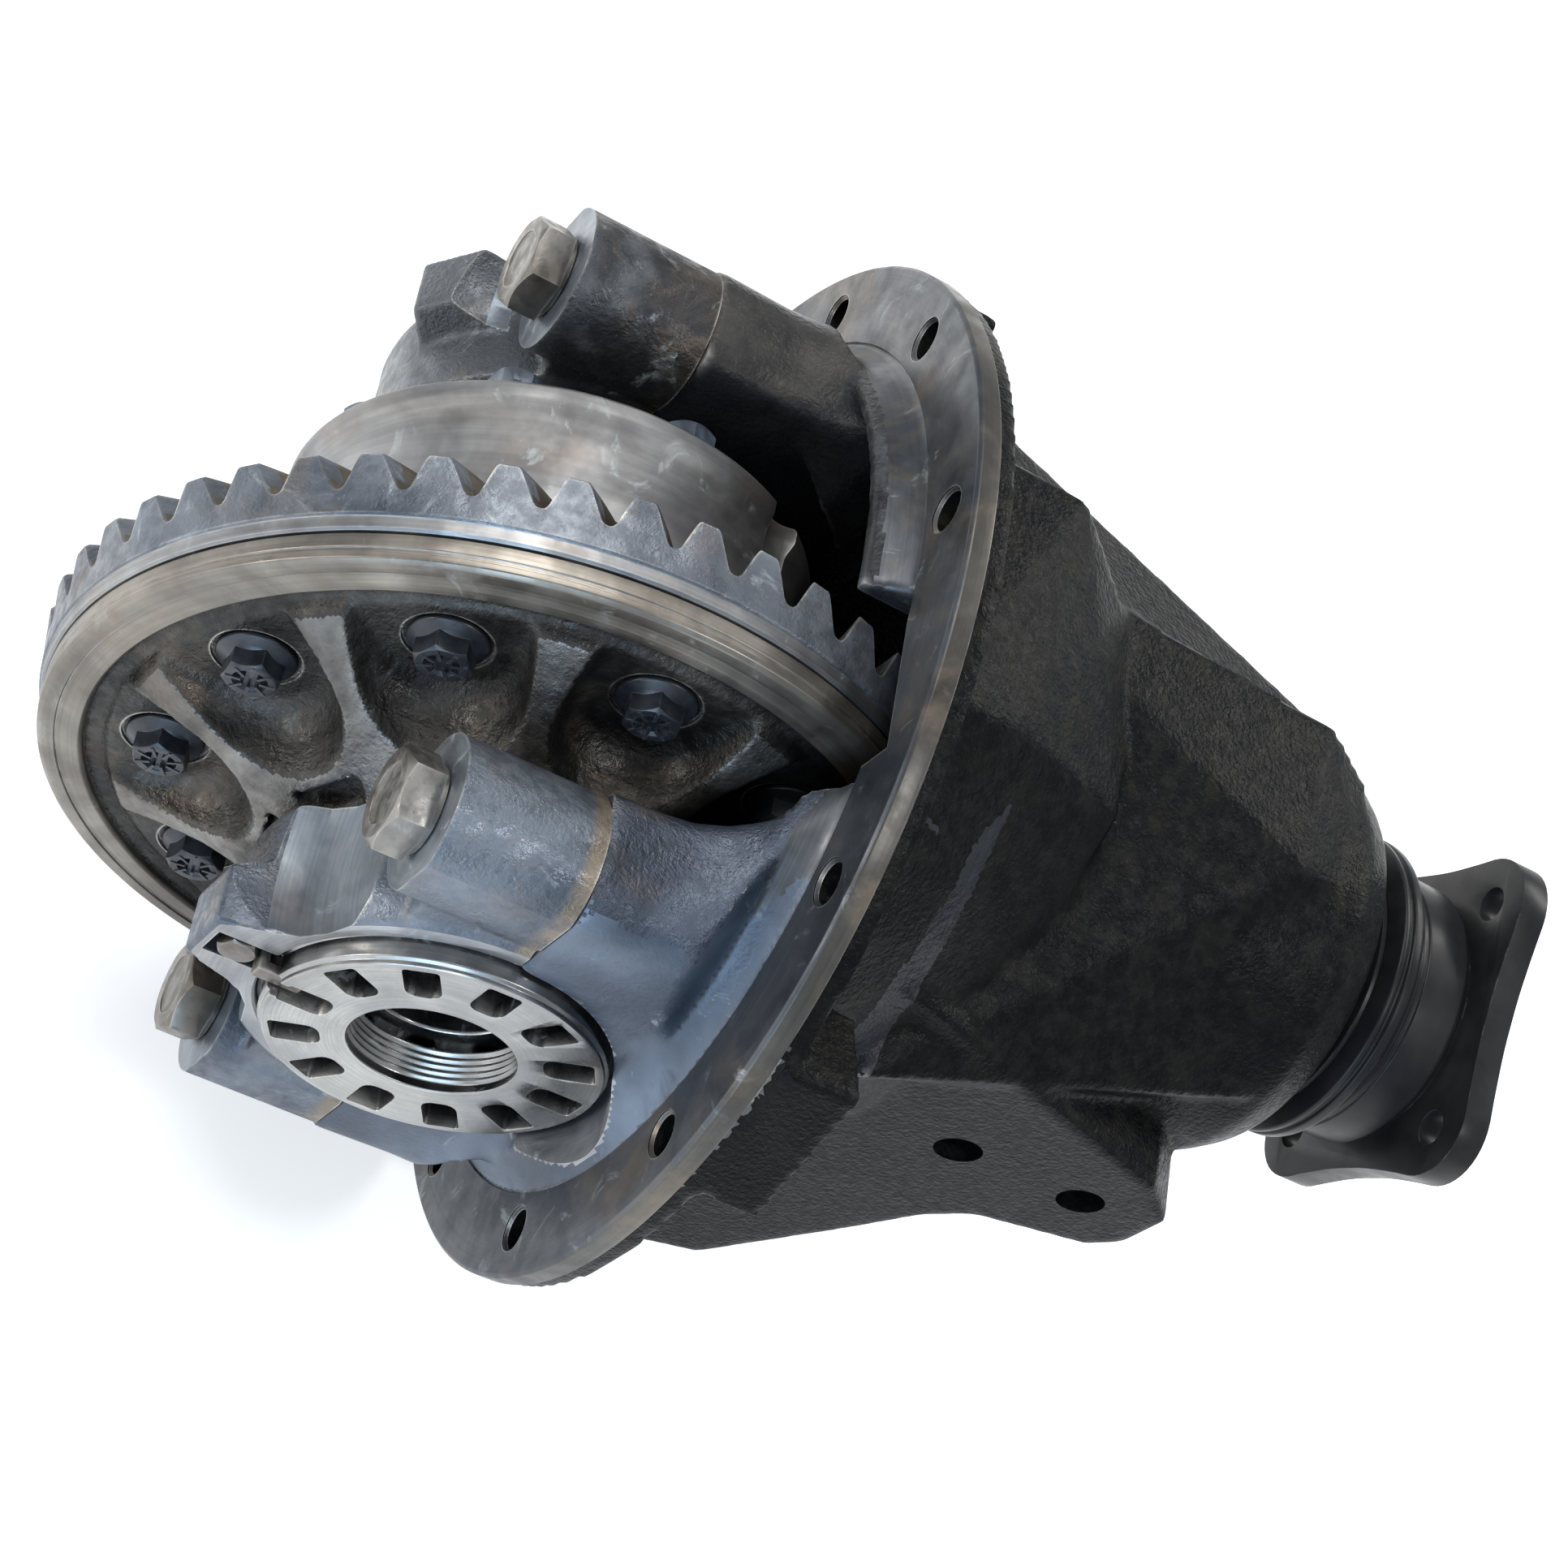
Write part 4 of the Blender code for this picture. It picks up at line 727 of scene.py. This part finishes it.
def bearing_cap(name, centre, outward):
    """A cast cap: arch, two bolt columns with a milled seat across them, lock boss and machined bore."""
    t = outward
    columns = [rod("column", 25.5, CAP_SEAT_X - 4, RING_X + 2, place(0, centre, z, X_AXIS))
               for z in (CAP_BOLT_Z, -CAP_BOLT_Z)]
    upright = place(RING_X, centre, 0, rot("X", -90 * t))
    arch = lathe("arch", [(50, 24), (66, 24, 1), (71, 15, 6), (71, -23, 2), (50, -23)], upright, 96, 1)
    shoulder = block("shoulder", (CAP_SEAT_X + 10, centre - 22, -CAP_BOLT_Z),
                     (RING_X + 2, centre + 22, CAP_BOLT_Z))
    lock = lock_frame(t)
    ends = sorted((centre + t * 3, centre + t * 23.5))
    feet = sorted((centre - t * 6, centre + t * 25.5))
    boss = hull("boss", [(RING_X - 83, y, z) for y in ends for z in (-13, 13)] +
                        [(RING_X - 62, y, z) for y in feet for z in (-21, 21)], lock)
    cap = join(arch, *columns, shoulder, boss)
    cut(cap, rod("hollow", 54, centre - 40, centre + 40, RING_AXIS, 64))
    cast(cap, 1.1, 9)
    # The milled dish around each bolt, as (radius, x); the far upper one stays clear of the lock boss
    wide = ((34, CAP_SEAT_X), (46, -111), (56, -114.5), (63, -120), (67.5, -129), (69.5, -150))
    narrow = ((27, CAP_SEAT_X), (32, -112), (36, -118), (38, -128), (39, -150))
    dishes = ((CAP_BOLT_Z, narrow if t > 0 else wide), (-CAP_BOLT_Z, wide))
    cutters = []
    for z, dish in dishes:
        where = place(0, centre, z, X_AXIS)
        cutters.append(solid_lathe("seat", dish, where, 96, 0))
        cutters.append(rod("bolt_hole", CAP_HOLE_R, RING_X - 60, RING_X + 60, where, 32))
    lead = SIDE_BORE_R + 1.4
    cutters += [block("away", (RING_X - 0.3, -300, -300), (300, 300, 300)),
                rod("bore", SIDE_BORE_R, centre - 40, centre + 40, RING_AXIS, 128),
                lathe("lead", [(SIDE_BORE_R - 1, 22), (lead, 24.2), (lead, 30), (SIDE_BORE_R - 1, 30)],
                      upright, 128, 0)]
    seat = centre + t * LOCK_SEAT
    low, high = sorted((seat, centre + t * 60))
    cutters.append(block("slot", (RING_X - 79, low, -7), (RING_X - 40, high, 7), lock))
    cutters.append(rod("tapped", 4.4, seat - 14, seat + 14, lock @ place(LOCK_SCREW_X, 0, 0, Y_AXIS), 24))
    low, high = sorted((centre + t * 23.6, centre + t * 43.6))
    cutters.append(block("faced", (-300, low, -300), (300, high, 300)))
    cut(cap, *cutters)
    (x, y, z), (nx, _, _) = face_data(cap)
    on_dish = np.zeros(len(x), bool)
    for bolt_z, dish in dishes:
        level = np.interp(np.hypot(y - centre, z - bolt_z), [0] + [r for r, _ in dish],
                          [CAP_SEAT_X] + [h for _, h in dish])
        on_dish |= np.abs(x - level) < 0.5
    from_ring = np.hypot(x - RING_X, z)
    paint_faces(cap, [(1, on_dish & (nx < -0.3)), (2, (from_ring < SIDE_BORE_R + 1.6) | (x > RING_X - 0.6))])
    skin = CAP_SKIN if t < 0 else FAR_CAP_SKIN
    settle(cap, name + "_casting", "carrier", "cap_grey", [skin, CAP_CUT, CAP_BORE], name, smooth=38)


# ---- fasteners

def hexagon(across, low, high, where, both=False):
    """A hexagon whose corners are turned off at the top, and at the bottom as well for a nut."""
    corner = across / math.sqrt(3)
    shape = prism("hex", [around(60 * i, corner) for i in range(6)], low, high, where)
    flat = across / 2
    rise = (corner - flat) * 0.75
    profile = [(flat * 0.97, high + 0.01), (corner * 1.02, high - rise - 0.4),
               (corner * 1.02, low + (rise if both else -0.01)), (flat * (0.97 if both else 1.3), low - 0.01)]
    clip(shape, solid_lathe("turned", profile, where, 72, 0))
    return edge(shape, across * 0.014, 2, 25)


def bolt(name, matrix, head, collar, shank, steps, size, dish=(), rays=0, body="carrier",
         slot="fastener_steel", finish=BOLT_STEEL):
    """A hexagon (across flats, low, high) on a turned collar, with a shank (radius, low, high, steps).

    The top may be dished, and marked with rays on the rim of the dish.
    """
    shape = hexagon(*head, matrix)
    *shank, sides = shank
    join(shape, solid_lathe("collar", collar, matrix, steps, size), rod("shank", *shank, matrix, sides))
    if dish:
        cut(shape, solid_lathe("dish", dish, matrix, 48 if rays else 64, 0))
    if rays:
        across, _, top = head
        join(shape, *[block("ray", (3, -0.45, top - 1.8), (across / 2 - 0.6, 0.45, top + 0.35),
                            matrix @ rot("Z", 360 * i / rays + 12)) for i in range(rays)])
    settle(shape, name + "_body", body, slot, finish, name, smooth=28)


# ---- adjusters

def adjuster(name, face_y, outward):
    turn = place(RING_X, face_y, 0, rot("X", -90 * outward))
    profile = [(27.2, 0, 1.2), (55.4, 0, 0.8), (55.4, -1.6, 0.2), (56.6, -2.4, 0.4), (56.6, -9, 0.3),
               (58.3, -10, 0.4), (58.3, -22, 0.4), (40, -22), (33, -15), (27.2, -15)]
    profile += [(27.2 + 1.3 * (k % 2), -14.4 + 1.2 * k) for k in range(10)]
    nut = lathe("nut", profile, turn, 144, 0.5)
    # A window's rounded corners, as (middle, side, first angle, radius)
    outline = []
    for x, side, start, r in ((40.2, 1, 90, 4.2), (40.2, -1, 180, 4.2), (51, -1, 270, 1.5), (51, 1, 0, 1.5)):
        for a in range(start, start + 91, 18):
            dx, dy = around(a, r)
            outline.append((x + dx, side * (5.9 - r) + dy))
    slots = [prism("window", outline, -30, 5, turn @ rot("Z", 30 * i)) for i in range(12)]
    lock_angle = 180 if outward < 0 else 210
    slots.append(block("notch", (44, -4.6, -30), (70, 4.6, 5), turn @ rot("Z", lock_angle)))
    cut(nut, *slots)
    edge(nut, 0.45, 2, 40)
    settle(nut, name + "_ring", "carrier", "bright_steel", NUT_BRIGHT, name, smooth=32)


def adjuster_lock(name, centre, face_y, outward):
    """A strip bent twice: bolted flat in the cap's slot, then out to the nut and into one of its slots."""
    t = outward
    y0 = centre + t * LOCK_SEAT
    y1 = face_y - t * 3
    turn = lock_frame(t)
    parts = []
    for low, high, start, end, half in ((-78, -59.8, y0 + t * 0.3, y0 + t * 3.6, 5.4),
                                        (-63, -59.8, y0 + t * 1.5, y1, 3.5),
                                        (-62, -46.5, y1 - t * 3.4, y1, 3.5)):
        ya, yb = sorted((start, end))
        parts.append(block("strip", (RING_X + low, ya, -half), (RING_X + high, yb, half), turn))
    strip = join(*parts)
    cut(strip, rod("hole", 4.3, y0 - 20, y0 + 20, turn @ place(LOCK_SCREW_X, 0, 0, Y_AXIS), 24))
    edge(strip, 0.7, 2, 40)
    settle(strip, name + "_strip", "carrier", "fastener_steel", BOLT_STEEL, name, smooth=32)


# ---- ring gear

RING_TOE, RING_HEEL = 106.0, 154.0
RING_TIP_Y = (-14.0, -21.0)
RING_ROOT_Y = (-24.6, -33.4)
RING_SPIRAL = 32.0
RING_PHASE = -1.12
RING_BACK_Y = -46.7
RING_END_CUT = 0.8
# Half a tooth: (share of the pitch from the tooth's middle, height from root 0 to tip 1)
TOOTH_HALF = ((0.14, 1.0), (0.172, 0.95), (0.205, 0.84), (0.262, 0.62), (0.325, 0.36), (0.385, 0.12),
              (0.44, 0.02), (0.5, 0.0))


def ring_slant(rho):
    return math.radians(RING_PHASE) - math.tan(math.radians(RING_SPIRAL)) * math.log(rho / 130.0)


def ring_gear():
    """46 spiral teeth with curved flanks, rounded roots and chamfered tips on a turned ring."""
    height_at = {side * a: height for a, height in TOOTH_HALF for side in (-1, 1)}
    offsets = sorted(a for a in height_at if a > -0.5)
    verts, rows = [], []

    def add_row(spot):
        """One loop of points about the axis; spot turns the height on the tooth into (radius, y)."""
        row = []
        for tooth in range(RING_TEETH):
            for a in offsets:
                rho, y = spot(height_at[a])
                angle = math.tau * (tooth + a) / RING_TEETH + ring_slant(min(max(rho, RING_TOE), RING_HEEL))
                verts.append((RING_X + rho * math.cos(angle), y, -rho * math.sin(angle)))
                row.append(len(verts) - 1)
        rows.append(row)

    def toothed(share):
        tip = lerp(RING_TIP_Y, share) - (RING_END_CUT if share in (0.0, 1.0) else 0.0)
        add_row(lambda top: (lerp((RING_TOE, RING_HEEL), share) - 2.0 * share * (1 - top),
                             lerp(RING_ROOT_Y, share) * (1 - top) + tip * top))

    for spot in ((89.5, RING_BACK_Y), (88.3, -45.6), (88.3, -31), (89.2, -30), (101, -27.5)):
        add_row(lambda top: spot)
    for share in (0.0, 0.02, 0.15, 0.3, 0.45, 0.6, 0.75, 0.88, 0.98, 1.0):
        toothed(share)
    for spot in ((152.3, -34.6), (151.6, -41.5), (151.0, -42.2), (150.6, -42.4), (150.3, -44), (150.2, -45.9),
                 (149.3, RING_BACK_Y)):
        add_row(lambda top: spot)
    faces = []
    count = len(rows[0])
    for low, high in zip(rows, rows[1:] + rows[:1]):
        for i in range(count):
            j = (i + 1) % count
            faces.append((low[i], low[j], high[j], high[i]))
    gear = from_arrays("gear", verts, faces)
    cut(gear, *[rod("hole", 6.6, RING_BACK_Y - 5, -36.5, place(x, 0, z, Y_AXIS), 24) for x, z in RING_SPOTS])
    (x, y, z), (nx, ny, nz) = face_data(gear)
    from_ring = np.hypot(x - RING_X, z)
    paint_faces(gear, [(1, (from_ring > 149) & (y < -42.3)), (0, from_ring > 149.5),
                       (2, (from_ring > 104) & (y > -34) & (np.abs(ny) < 0.93)), (1, from_ring > 0)])
    settle(gear, "ring_gear_teeth", "differential", "gear_steel", [GEAR_SIDE, GEAR_TURNED, GEAR_FLANK],
           "ring_gear", smooth=34)


# ---- differential case

def cross_arms():
    """Cutters for the cross: two crossed rods in the plane where the case halves meet."""
    middle = place(RING_X, 15, 0, rot("Y", -CROSS_TURN))
    return [rod("arm", 10.3, -70, 70, where, 48) for where in (middle, middle @ X_AXIS)]


def case_flange_half():
    """Rim, floor, ten ribs and bowls around the bolts, cast as one; rim, seats and journal are turned."""
    disc = lathe("disc", [(SHAFT_R, -45), (148.5, -47.5), (148.5, -56.5), (134, -57), (133, -53.4),
                          (126.5, -53.4), (124, -59.2), (54, -86.6), (46, -90.4), (40, -95), (31, -96.5),
                          (SHAFT_R, -96.5)], RING_AXIS, 128, 1)
    scoops = []
    for i in range(RING_BOLTS):
        turn = place(RING_X, 0, 0, rot("Y", -RING_BOLT_TURN - i * 360 / RING_BOLTS))
        points = []
        # (y, middle and radius of the bowl, half width at the rim)
        for y, middle, bowl, outer in ((-55.6, 106, 20, 29.5), (-58.5, 105, 24, 32), (-64, 103.5, 26.5, 33.5),
                                       (-92, 99, 30, 36)):
            for a in range(90, 271, 15):
                dx, dz = around(a, bowl)
                points.append((middle + dx, y, dz))
            points += [(131, y, outer), (131, y, -outer)]
        scoops.append(hull("scoop", points, turn))
        scoops.append(hull("inner_pocket", [(r, y, side * half) for r, y, half in (
            (55, -92, 10), (69, -92, 16.5), (57, -80, 7), (68, -75, 13.5)) for side in (1, -1)], turn))
    cut(disc, *scoops)
    cast(disc, 1.2, 8)
    barrel = lathe("barrel", [(60, 15), (88, 15), (88, -46), (60, -46)], RING_AXIS, 128, 0.6)
    rim = lathe("rim", [(149, -47.3, 0.5), (149, -52.2, 0.3), (148.3, -52.6, 0.2), (148.3, -53.6, 0.2),
                        (149, -54, 0.3), (148.6, -56, 0.4), (147, -57, 0.5), (142.8, -57.4, 0.3),
                        (142.4, -56.6, 0.2), (138, -57.6, 0.3), (134.6, -58, 0.4), (133.4, -56.6, 0.5),
                        (133.4, -47.3)], RING_AXIS, 192, 0.3)
    journal = lathe("journal", [(32, -93), (32, -119, 1), (30.6, -120), (24.6, -120), (24, -119), (24, -93)],
                    RING_AXIS, 128, 0.4)
    join(disc, barrel, rim, journal)
    seats = []
    for x, z in RING_SPOTS:
        seats.append(rod("seat", 14.6, -80, -54.4, place(x, 0, z, Y_AXIS), 48))
        seats.append(rod("hole", CASE_HOLE_R, -60, -40, place(x, 0, z, Y_AXIS), 24))
    rib_tops = lathe("rib_tops", [(46, -110), (46, -89.7), (124.5, -58.9), (128, -57.4), (128, -110)],
                     RING_AXIS, 128, 0)
    bore = lathe("bore", [(24, -130), (24, -45), (33.3, -43.5), (33.3, -23), (60, -23), (60, 30), (1, 30),
                          (1, -130)], RING_AXIS, 128, 0)
    cut(disc, *seats, rib_tops, bore, *cross_arms(),
        *[rod("hole", CASE_HOLE_R, -6, 30, place(x, 0, z, Y_AXIS), 24) for x, z in CASE_SPOTS])
    (x, y, z), (nx, ny, nz) = face_data(disc)
    from_ring = np.hypot(x - RING_X, z)
    on_rib = np.abs((y + 89.7) - (from_ring - 46) * 30.8 / 78.5) < 0.4
    paint_faces(disc, [(1, from_ring > 133.2), (2, (from_ring < 33.4) & (y < -40)),
                       (1, (y > -50) & (from_ring > 59)),
                       (3, on_rib & (from_ring < 127) & (from_ring > 46) & (ny < -0.8))])
    settle(disc, "case_flange_casting", "differential", "cap_grey",
           [CASE_SKIN, CASE_TURNED, BEARING, RIB_TOP], "case_flange_half", smooth=38)


def case_cap_half():
    profile = [(32, 111, 1), (32, 85.4, 1), (40, 85, 2), (46, 72, 3), (52, 62, 3), (84, 59.4, 2),
               (91, 59, 1.5), (92, 57.8, 0.6), (92, 53, 1), (89.5, 47, 2), (88.6, 30, 2), (88, 15.3, 0.5),
               (60, 15.3), (60, 53), (33.3, 53), (33.3, 73.5), (24, 75), (24, 111, 1)]
    half = lathe("bell", profile, RING_AXIS, 144, 0.6)
    holes = []
    for x, z in CASE_SPOTS:
        holes.append(rod("hole", CASE_HOLE_R, 5, 70, place(x, 0, z, Y_AXIS), 24))
        holes.append(rod("spot", 12, 59.2, 80, place(x, 0, z, Y_AXIS), 32))
    x, z = around(55, 94)
    holes.append(rod("relief", 9, 20, 70, place(RING_X + x, 0, z, Y_AXIS), 48))
    cut(half, *holes, *cross_arms())
    edge(half, 0.35, 2, 40)
    settle(half, "case_cap_casting", "differential", "case_steel", BELL, "case_cap_half", smooth=32)


# ---- companion flange and pinion

def companion_flange():
    outline = []
    for corner in range(4):
        middle = 90 * corner + 45
        for k in range(-6, 7):
            share = k / 6
            outline.append(around(middle + 13.5 * share, 77 - 6.2 * share * share))
        for k in range(-5, 6):
            share = k / 6
            outline.append(around(middle + 45 + 31.5 * share, 57.3 + 13.2 * abs(share) ** 2.2))
    turn = X_AXIS @ rot("Z", PLATE_TURN)
    square = prism("square", outline, PLATE_X, PLATE_X + 11, place(0, 0, PINION_Z, turn))
    cutters = []
    for i in range(4):
        down, y = around(90 * i + 45 + PLATE_TURN, 60)
        cutters.append(rod("hole", 6.5, 270, 310, place(0, y, PINION_Z - down, X_AXIS), 40))
    cut(square, *cutters)
    edge(square, 1.3, 3, 40)
    hub = lathe("hub", [(20.4, 294), (44.6, 294), (44.6, 287.2, 2), (44.6, 282.6, 2), (49, 280.4, 1),
                        (50.4, 278.4, 0.6), (50.4, 262, 0.4), (49.7, 261.5, 0.2), (49.7, 259.6, 0.2),
                        (50.4, 259, 0.3), (50.4, 240.4, 0.6), (34.6, 239.4), (34.6, 210), (20.4, 210)],
                PINION_AXIS, 128, 0.6)
    join(square, hub)
    fillet = lathe("fillet", [(44, 284.6), (53, 285.6, 0), (53, 288), (44, 288)], PINION_AXIS, 96, 0.5)
    join(square, fillet)
    cut(square, solid_lathe("recess", [(27, 310), (27, 280), (20.4, 279.9), (20.4, 200)], PINION_AXIS, 96, 0),
        lathe("spigot", [(41, 310), (41, 294.4), (36, 293.6), (1, 293.6), (1, 310)], PINION_AXIS, 96, 0))
    settle(square, "companion_flange_body", "pinion", "flange_black", SATIN, "companion_flange", smooth=32)
    dust = lathe("dust", [(54, 256, 0.8), (57.8, 252.4, 0.8), (58, 249, 0.6), (56.6, 248.4, 0.4),
                          (56.6, 247.2, 0.4), (58, 246.4, 0.6), (58, 244.4, 0.8), (50.7, 242), (50.7, 256)],
                 PINION_AXIS, 128, 0.5)
    settle(dust, "dust_ring_skirt", "pinion", "flange_black", SATIN, "dust_ring", smooth=32)


def pinion_end():
    nut = hexagon(39.6, 284.6, 302.2, PINION_AXIS, both=True)
    cut(nut, rod("thread", 14.4, 280, 320, PINION_AXIS, 48))
    settle(nut, "flange_nut_hex", "pinion", "fastener_steel", BOLT_STEEL, "flange_nut", smooth=28)
    washer = lathe("washer", [(25, 284.2), (25, 280.4), (20.6, 280.4), (20.6, 284.2)], PINION_AXIS, 64, 0.4)
    settle(washer, "flange_nut_washer_ring", "pinion", "fastener_steel", BOLT_STEEL, "flange_nut_washer")
    profile = [(47, 238, 0.8), (47, 226.4), (35.2, 226.4), (35.2, 231), (38, 236, 1), (41, 238, 1)]
    seal = lathe("seal", profile, PINION_AXIS, 96, 0.5)
    settle(seal, "pinion_seal_lip", "carrier", "seal_rubber", RUBBER, "pinion_oil_seal")


# ---- assembly

housing()
SIDES = (("near", NEAR_Y, -1), ("far", FAR_Y, 1))
for side, centre, outward in SIDES:
    bearing_cap(f"bearing_cap_{side}", centre, outward)
for side, centre, outward in SIDES:
    for level, z, turn in (("upper", CAP_BOLT_Z, 12), ("lower", -CAP_BOLT_Z, 40)):
        bolt(f"cap_bolt_{side}_{level}", place(CAP_SEAT_X - 0.3, centre, z, rot("Y", -90) @ rot("Z", turn)),
             (30, 2, 14), [(14.2, 2.4), (14.2, 0), (5, 0)], (10, -40, 6, 32), 64, 0.3,
             dish=[(10.2, 15), (10.2, 13.6), (9.2, 13.2), (3, 13.1)])
for side, centre, outward in SIDES:
    adjuster(f"adjuster_nut_{side}", centre + outward * NUT_FACE, outward)
for side, centre, outward in SIDES:
    adjuster_lock(f"adjuster_lock_{side}", centre, centre + outward * NUT_FACE, outward)
for side, centre, outward in SIDES:
    head_y = centre + outward * 19.3
    bolt(f"lock_bolt_{side}", lock_frame(outward) @ place(LOCK_SCREW_X, head_y, 0, rot("X", -90 * outward)),
         (12, 0.8, 5), [(5.7, 1.2), (5.7, 0), (2, 0)], (3.9, -13, 2, 16), 32, 0.2)
ring_gear()
for i, (x, z) in enumerate(RING_SPOTS):
    bolt(f"ring_gear_bolt_{i + 1:02d}", place(x, -54.8, z, rot("X", 90) @ rot("Z", 23 * i)), (17, 1, 10),
         [(7.5, 5), (9, 3.4, 1), (13, 1.4, 0.8), (13, 0, 0.5), (3, 0)], (5.9, -10, 4, 24), 64, 0.4,
         dish=[(5.9, 11), (5.9, 9.7), (4.9, 8.7), (1, 8.6)], rays=8, body="differential", slot="bolt_black",
         finish=BOLT_BLACK)
case_flange_half()
case_cap_half()
for i, (x, z) in enumerate(CASE_SPOTS):
    bolt(f"case_bolt_{i + 1}", place(x, 59.3, z, rot("X", -90) @ rot("Z", 19 * i)), (17, 1, 10),
         [(8.6, 5), (8.8, 2.6, 0.5), (11.2, 1.6, 0.5), (11.2, 0, 0.3), (3, 0)], (5.9, -10, 4, 24), 48, 0.3,
         body="differential", slot="bolt_black", finish=CASE_BOLT)
companion_flange()
pinion_end()

# Pieces whose CAD shape is right keep it and take a detailed material
KEPT = {"side_bearing": BEARING, "pinion_inner": BEARING, "pinion_outer": BEARING,
        "side_gear": GEAR_STEEL, "spider": GEAR_STEEL, "differential_cross": SHAFT_STEEL,
        "drive_pinion": SHAFT_STEEL, "pinion_spacer": SHAFT_STEEL}
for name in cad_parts:
    for start, finish in KEPT.items():
        if name.startswith(start):
            item = bpy.data.objects[name]
            for slot in item.material_slots:
                slot.link = "OBJECT"
                slot.material = finish


# ---- camera, floor and light

def camera():
    """The photograph's view: down onto the near side and the cap end, with a long lens."""
    data = bpy.data.cameras.new("camera")
    data.lens = 79.826
    data.sensor_width = 36
    data.clip_start = 0.05
    made = add_object("camera", data)
    right = Vector((0.8437573, 0.1493108, 0.5155384))
    up = Vector((-0.3861088, 0.8360539, 0.3897871))
    back = Vector((-0.3728184, -0.5279396, 0.7630768))
    made.matrix_world = (Matrix.Translation((-0.409386, -0.632631, 0.929174)) @
                         Matrix((right, up, back)).transposed().to_4x4())
    bpy.context.scene.camera = made


def floor():
    mesh = bpy.data.meshes.new("floor")
    size = 30.0
    level = CAD_BOX[0][2] - 0.001
    corners = [(x * size, y * size, level) for x, y in ((-1, -1), (1, -1), (1, 1), (-1, 1))]
    mesh.from_pydata(corners, [], [(0, 1, 2, 3)])
    g = Graph("floor_paper")
    color = g.mix(g.noise(3, 2), (0.86, 0.86, 0.86), (0.9, 0.9, 0.9))
    mesh.materials.append(g.finish(color, 0.9, 0.0, Emission_Color=(1, 1, 1, 1), Emission_Strength=0.42))
    add_object("floor", mesh)


def lamp(name, where, target, size, energy, color=(1, 1, 1)):
    data = bpy.data.lights.new(name, "AREA")
    data.shape = "RECTANGLE"
    data.size, data.size_y = size
    data.energy = energy
    data.color = color
    made = add_object(name, data)
    made.location = where
    made.rotation_euler = (Vector(target) - Vector(where)).to_track_quat("-Z", "Y").to_euler()


camera()
floor()
world = bpy.data.worlds.new("studio")
world.use_nodes = True
world.node_tree.nodes["Background"].inputs[0].default_value = (0.9, 0.95, 1.0, 1)
world.node_tree.nodes["Background"].inputs[1].default_value = 0.5
bpy.context.scene.world = world
bpy.context.scene.view_settings.view_transform = "Standard"
lamp("key", (-0.7, 0.7, 1.8), (0, 0, 0), (1.5, 1.5), 34, (1.0, 0.97, 0.92))
lamp("strobe", (0.75, -0.9, 1.9), (0, 0, 0), (0.3, 0.3), 12)
lamp("blue_side", (-0.6, -1.9, 0.6), (0, -0.1, 0), (1.3, 0.9), 20, (0.55, 0.77, 1.0))
lamp("front", (-1.8, -0.5, 0.45), (0, 0, 0), (0.8, 0.6), 13, (1.0, 0.94, 0.86))
lamp("back_rim", (1.3, 0.9, 1.1), (0.1, 0, 0), (0.9, 0.4), 12, (1.0, 0.98, 0.95))
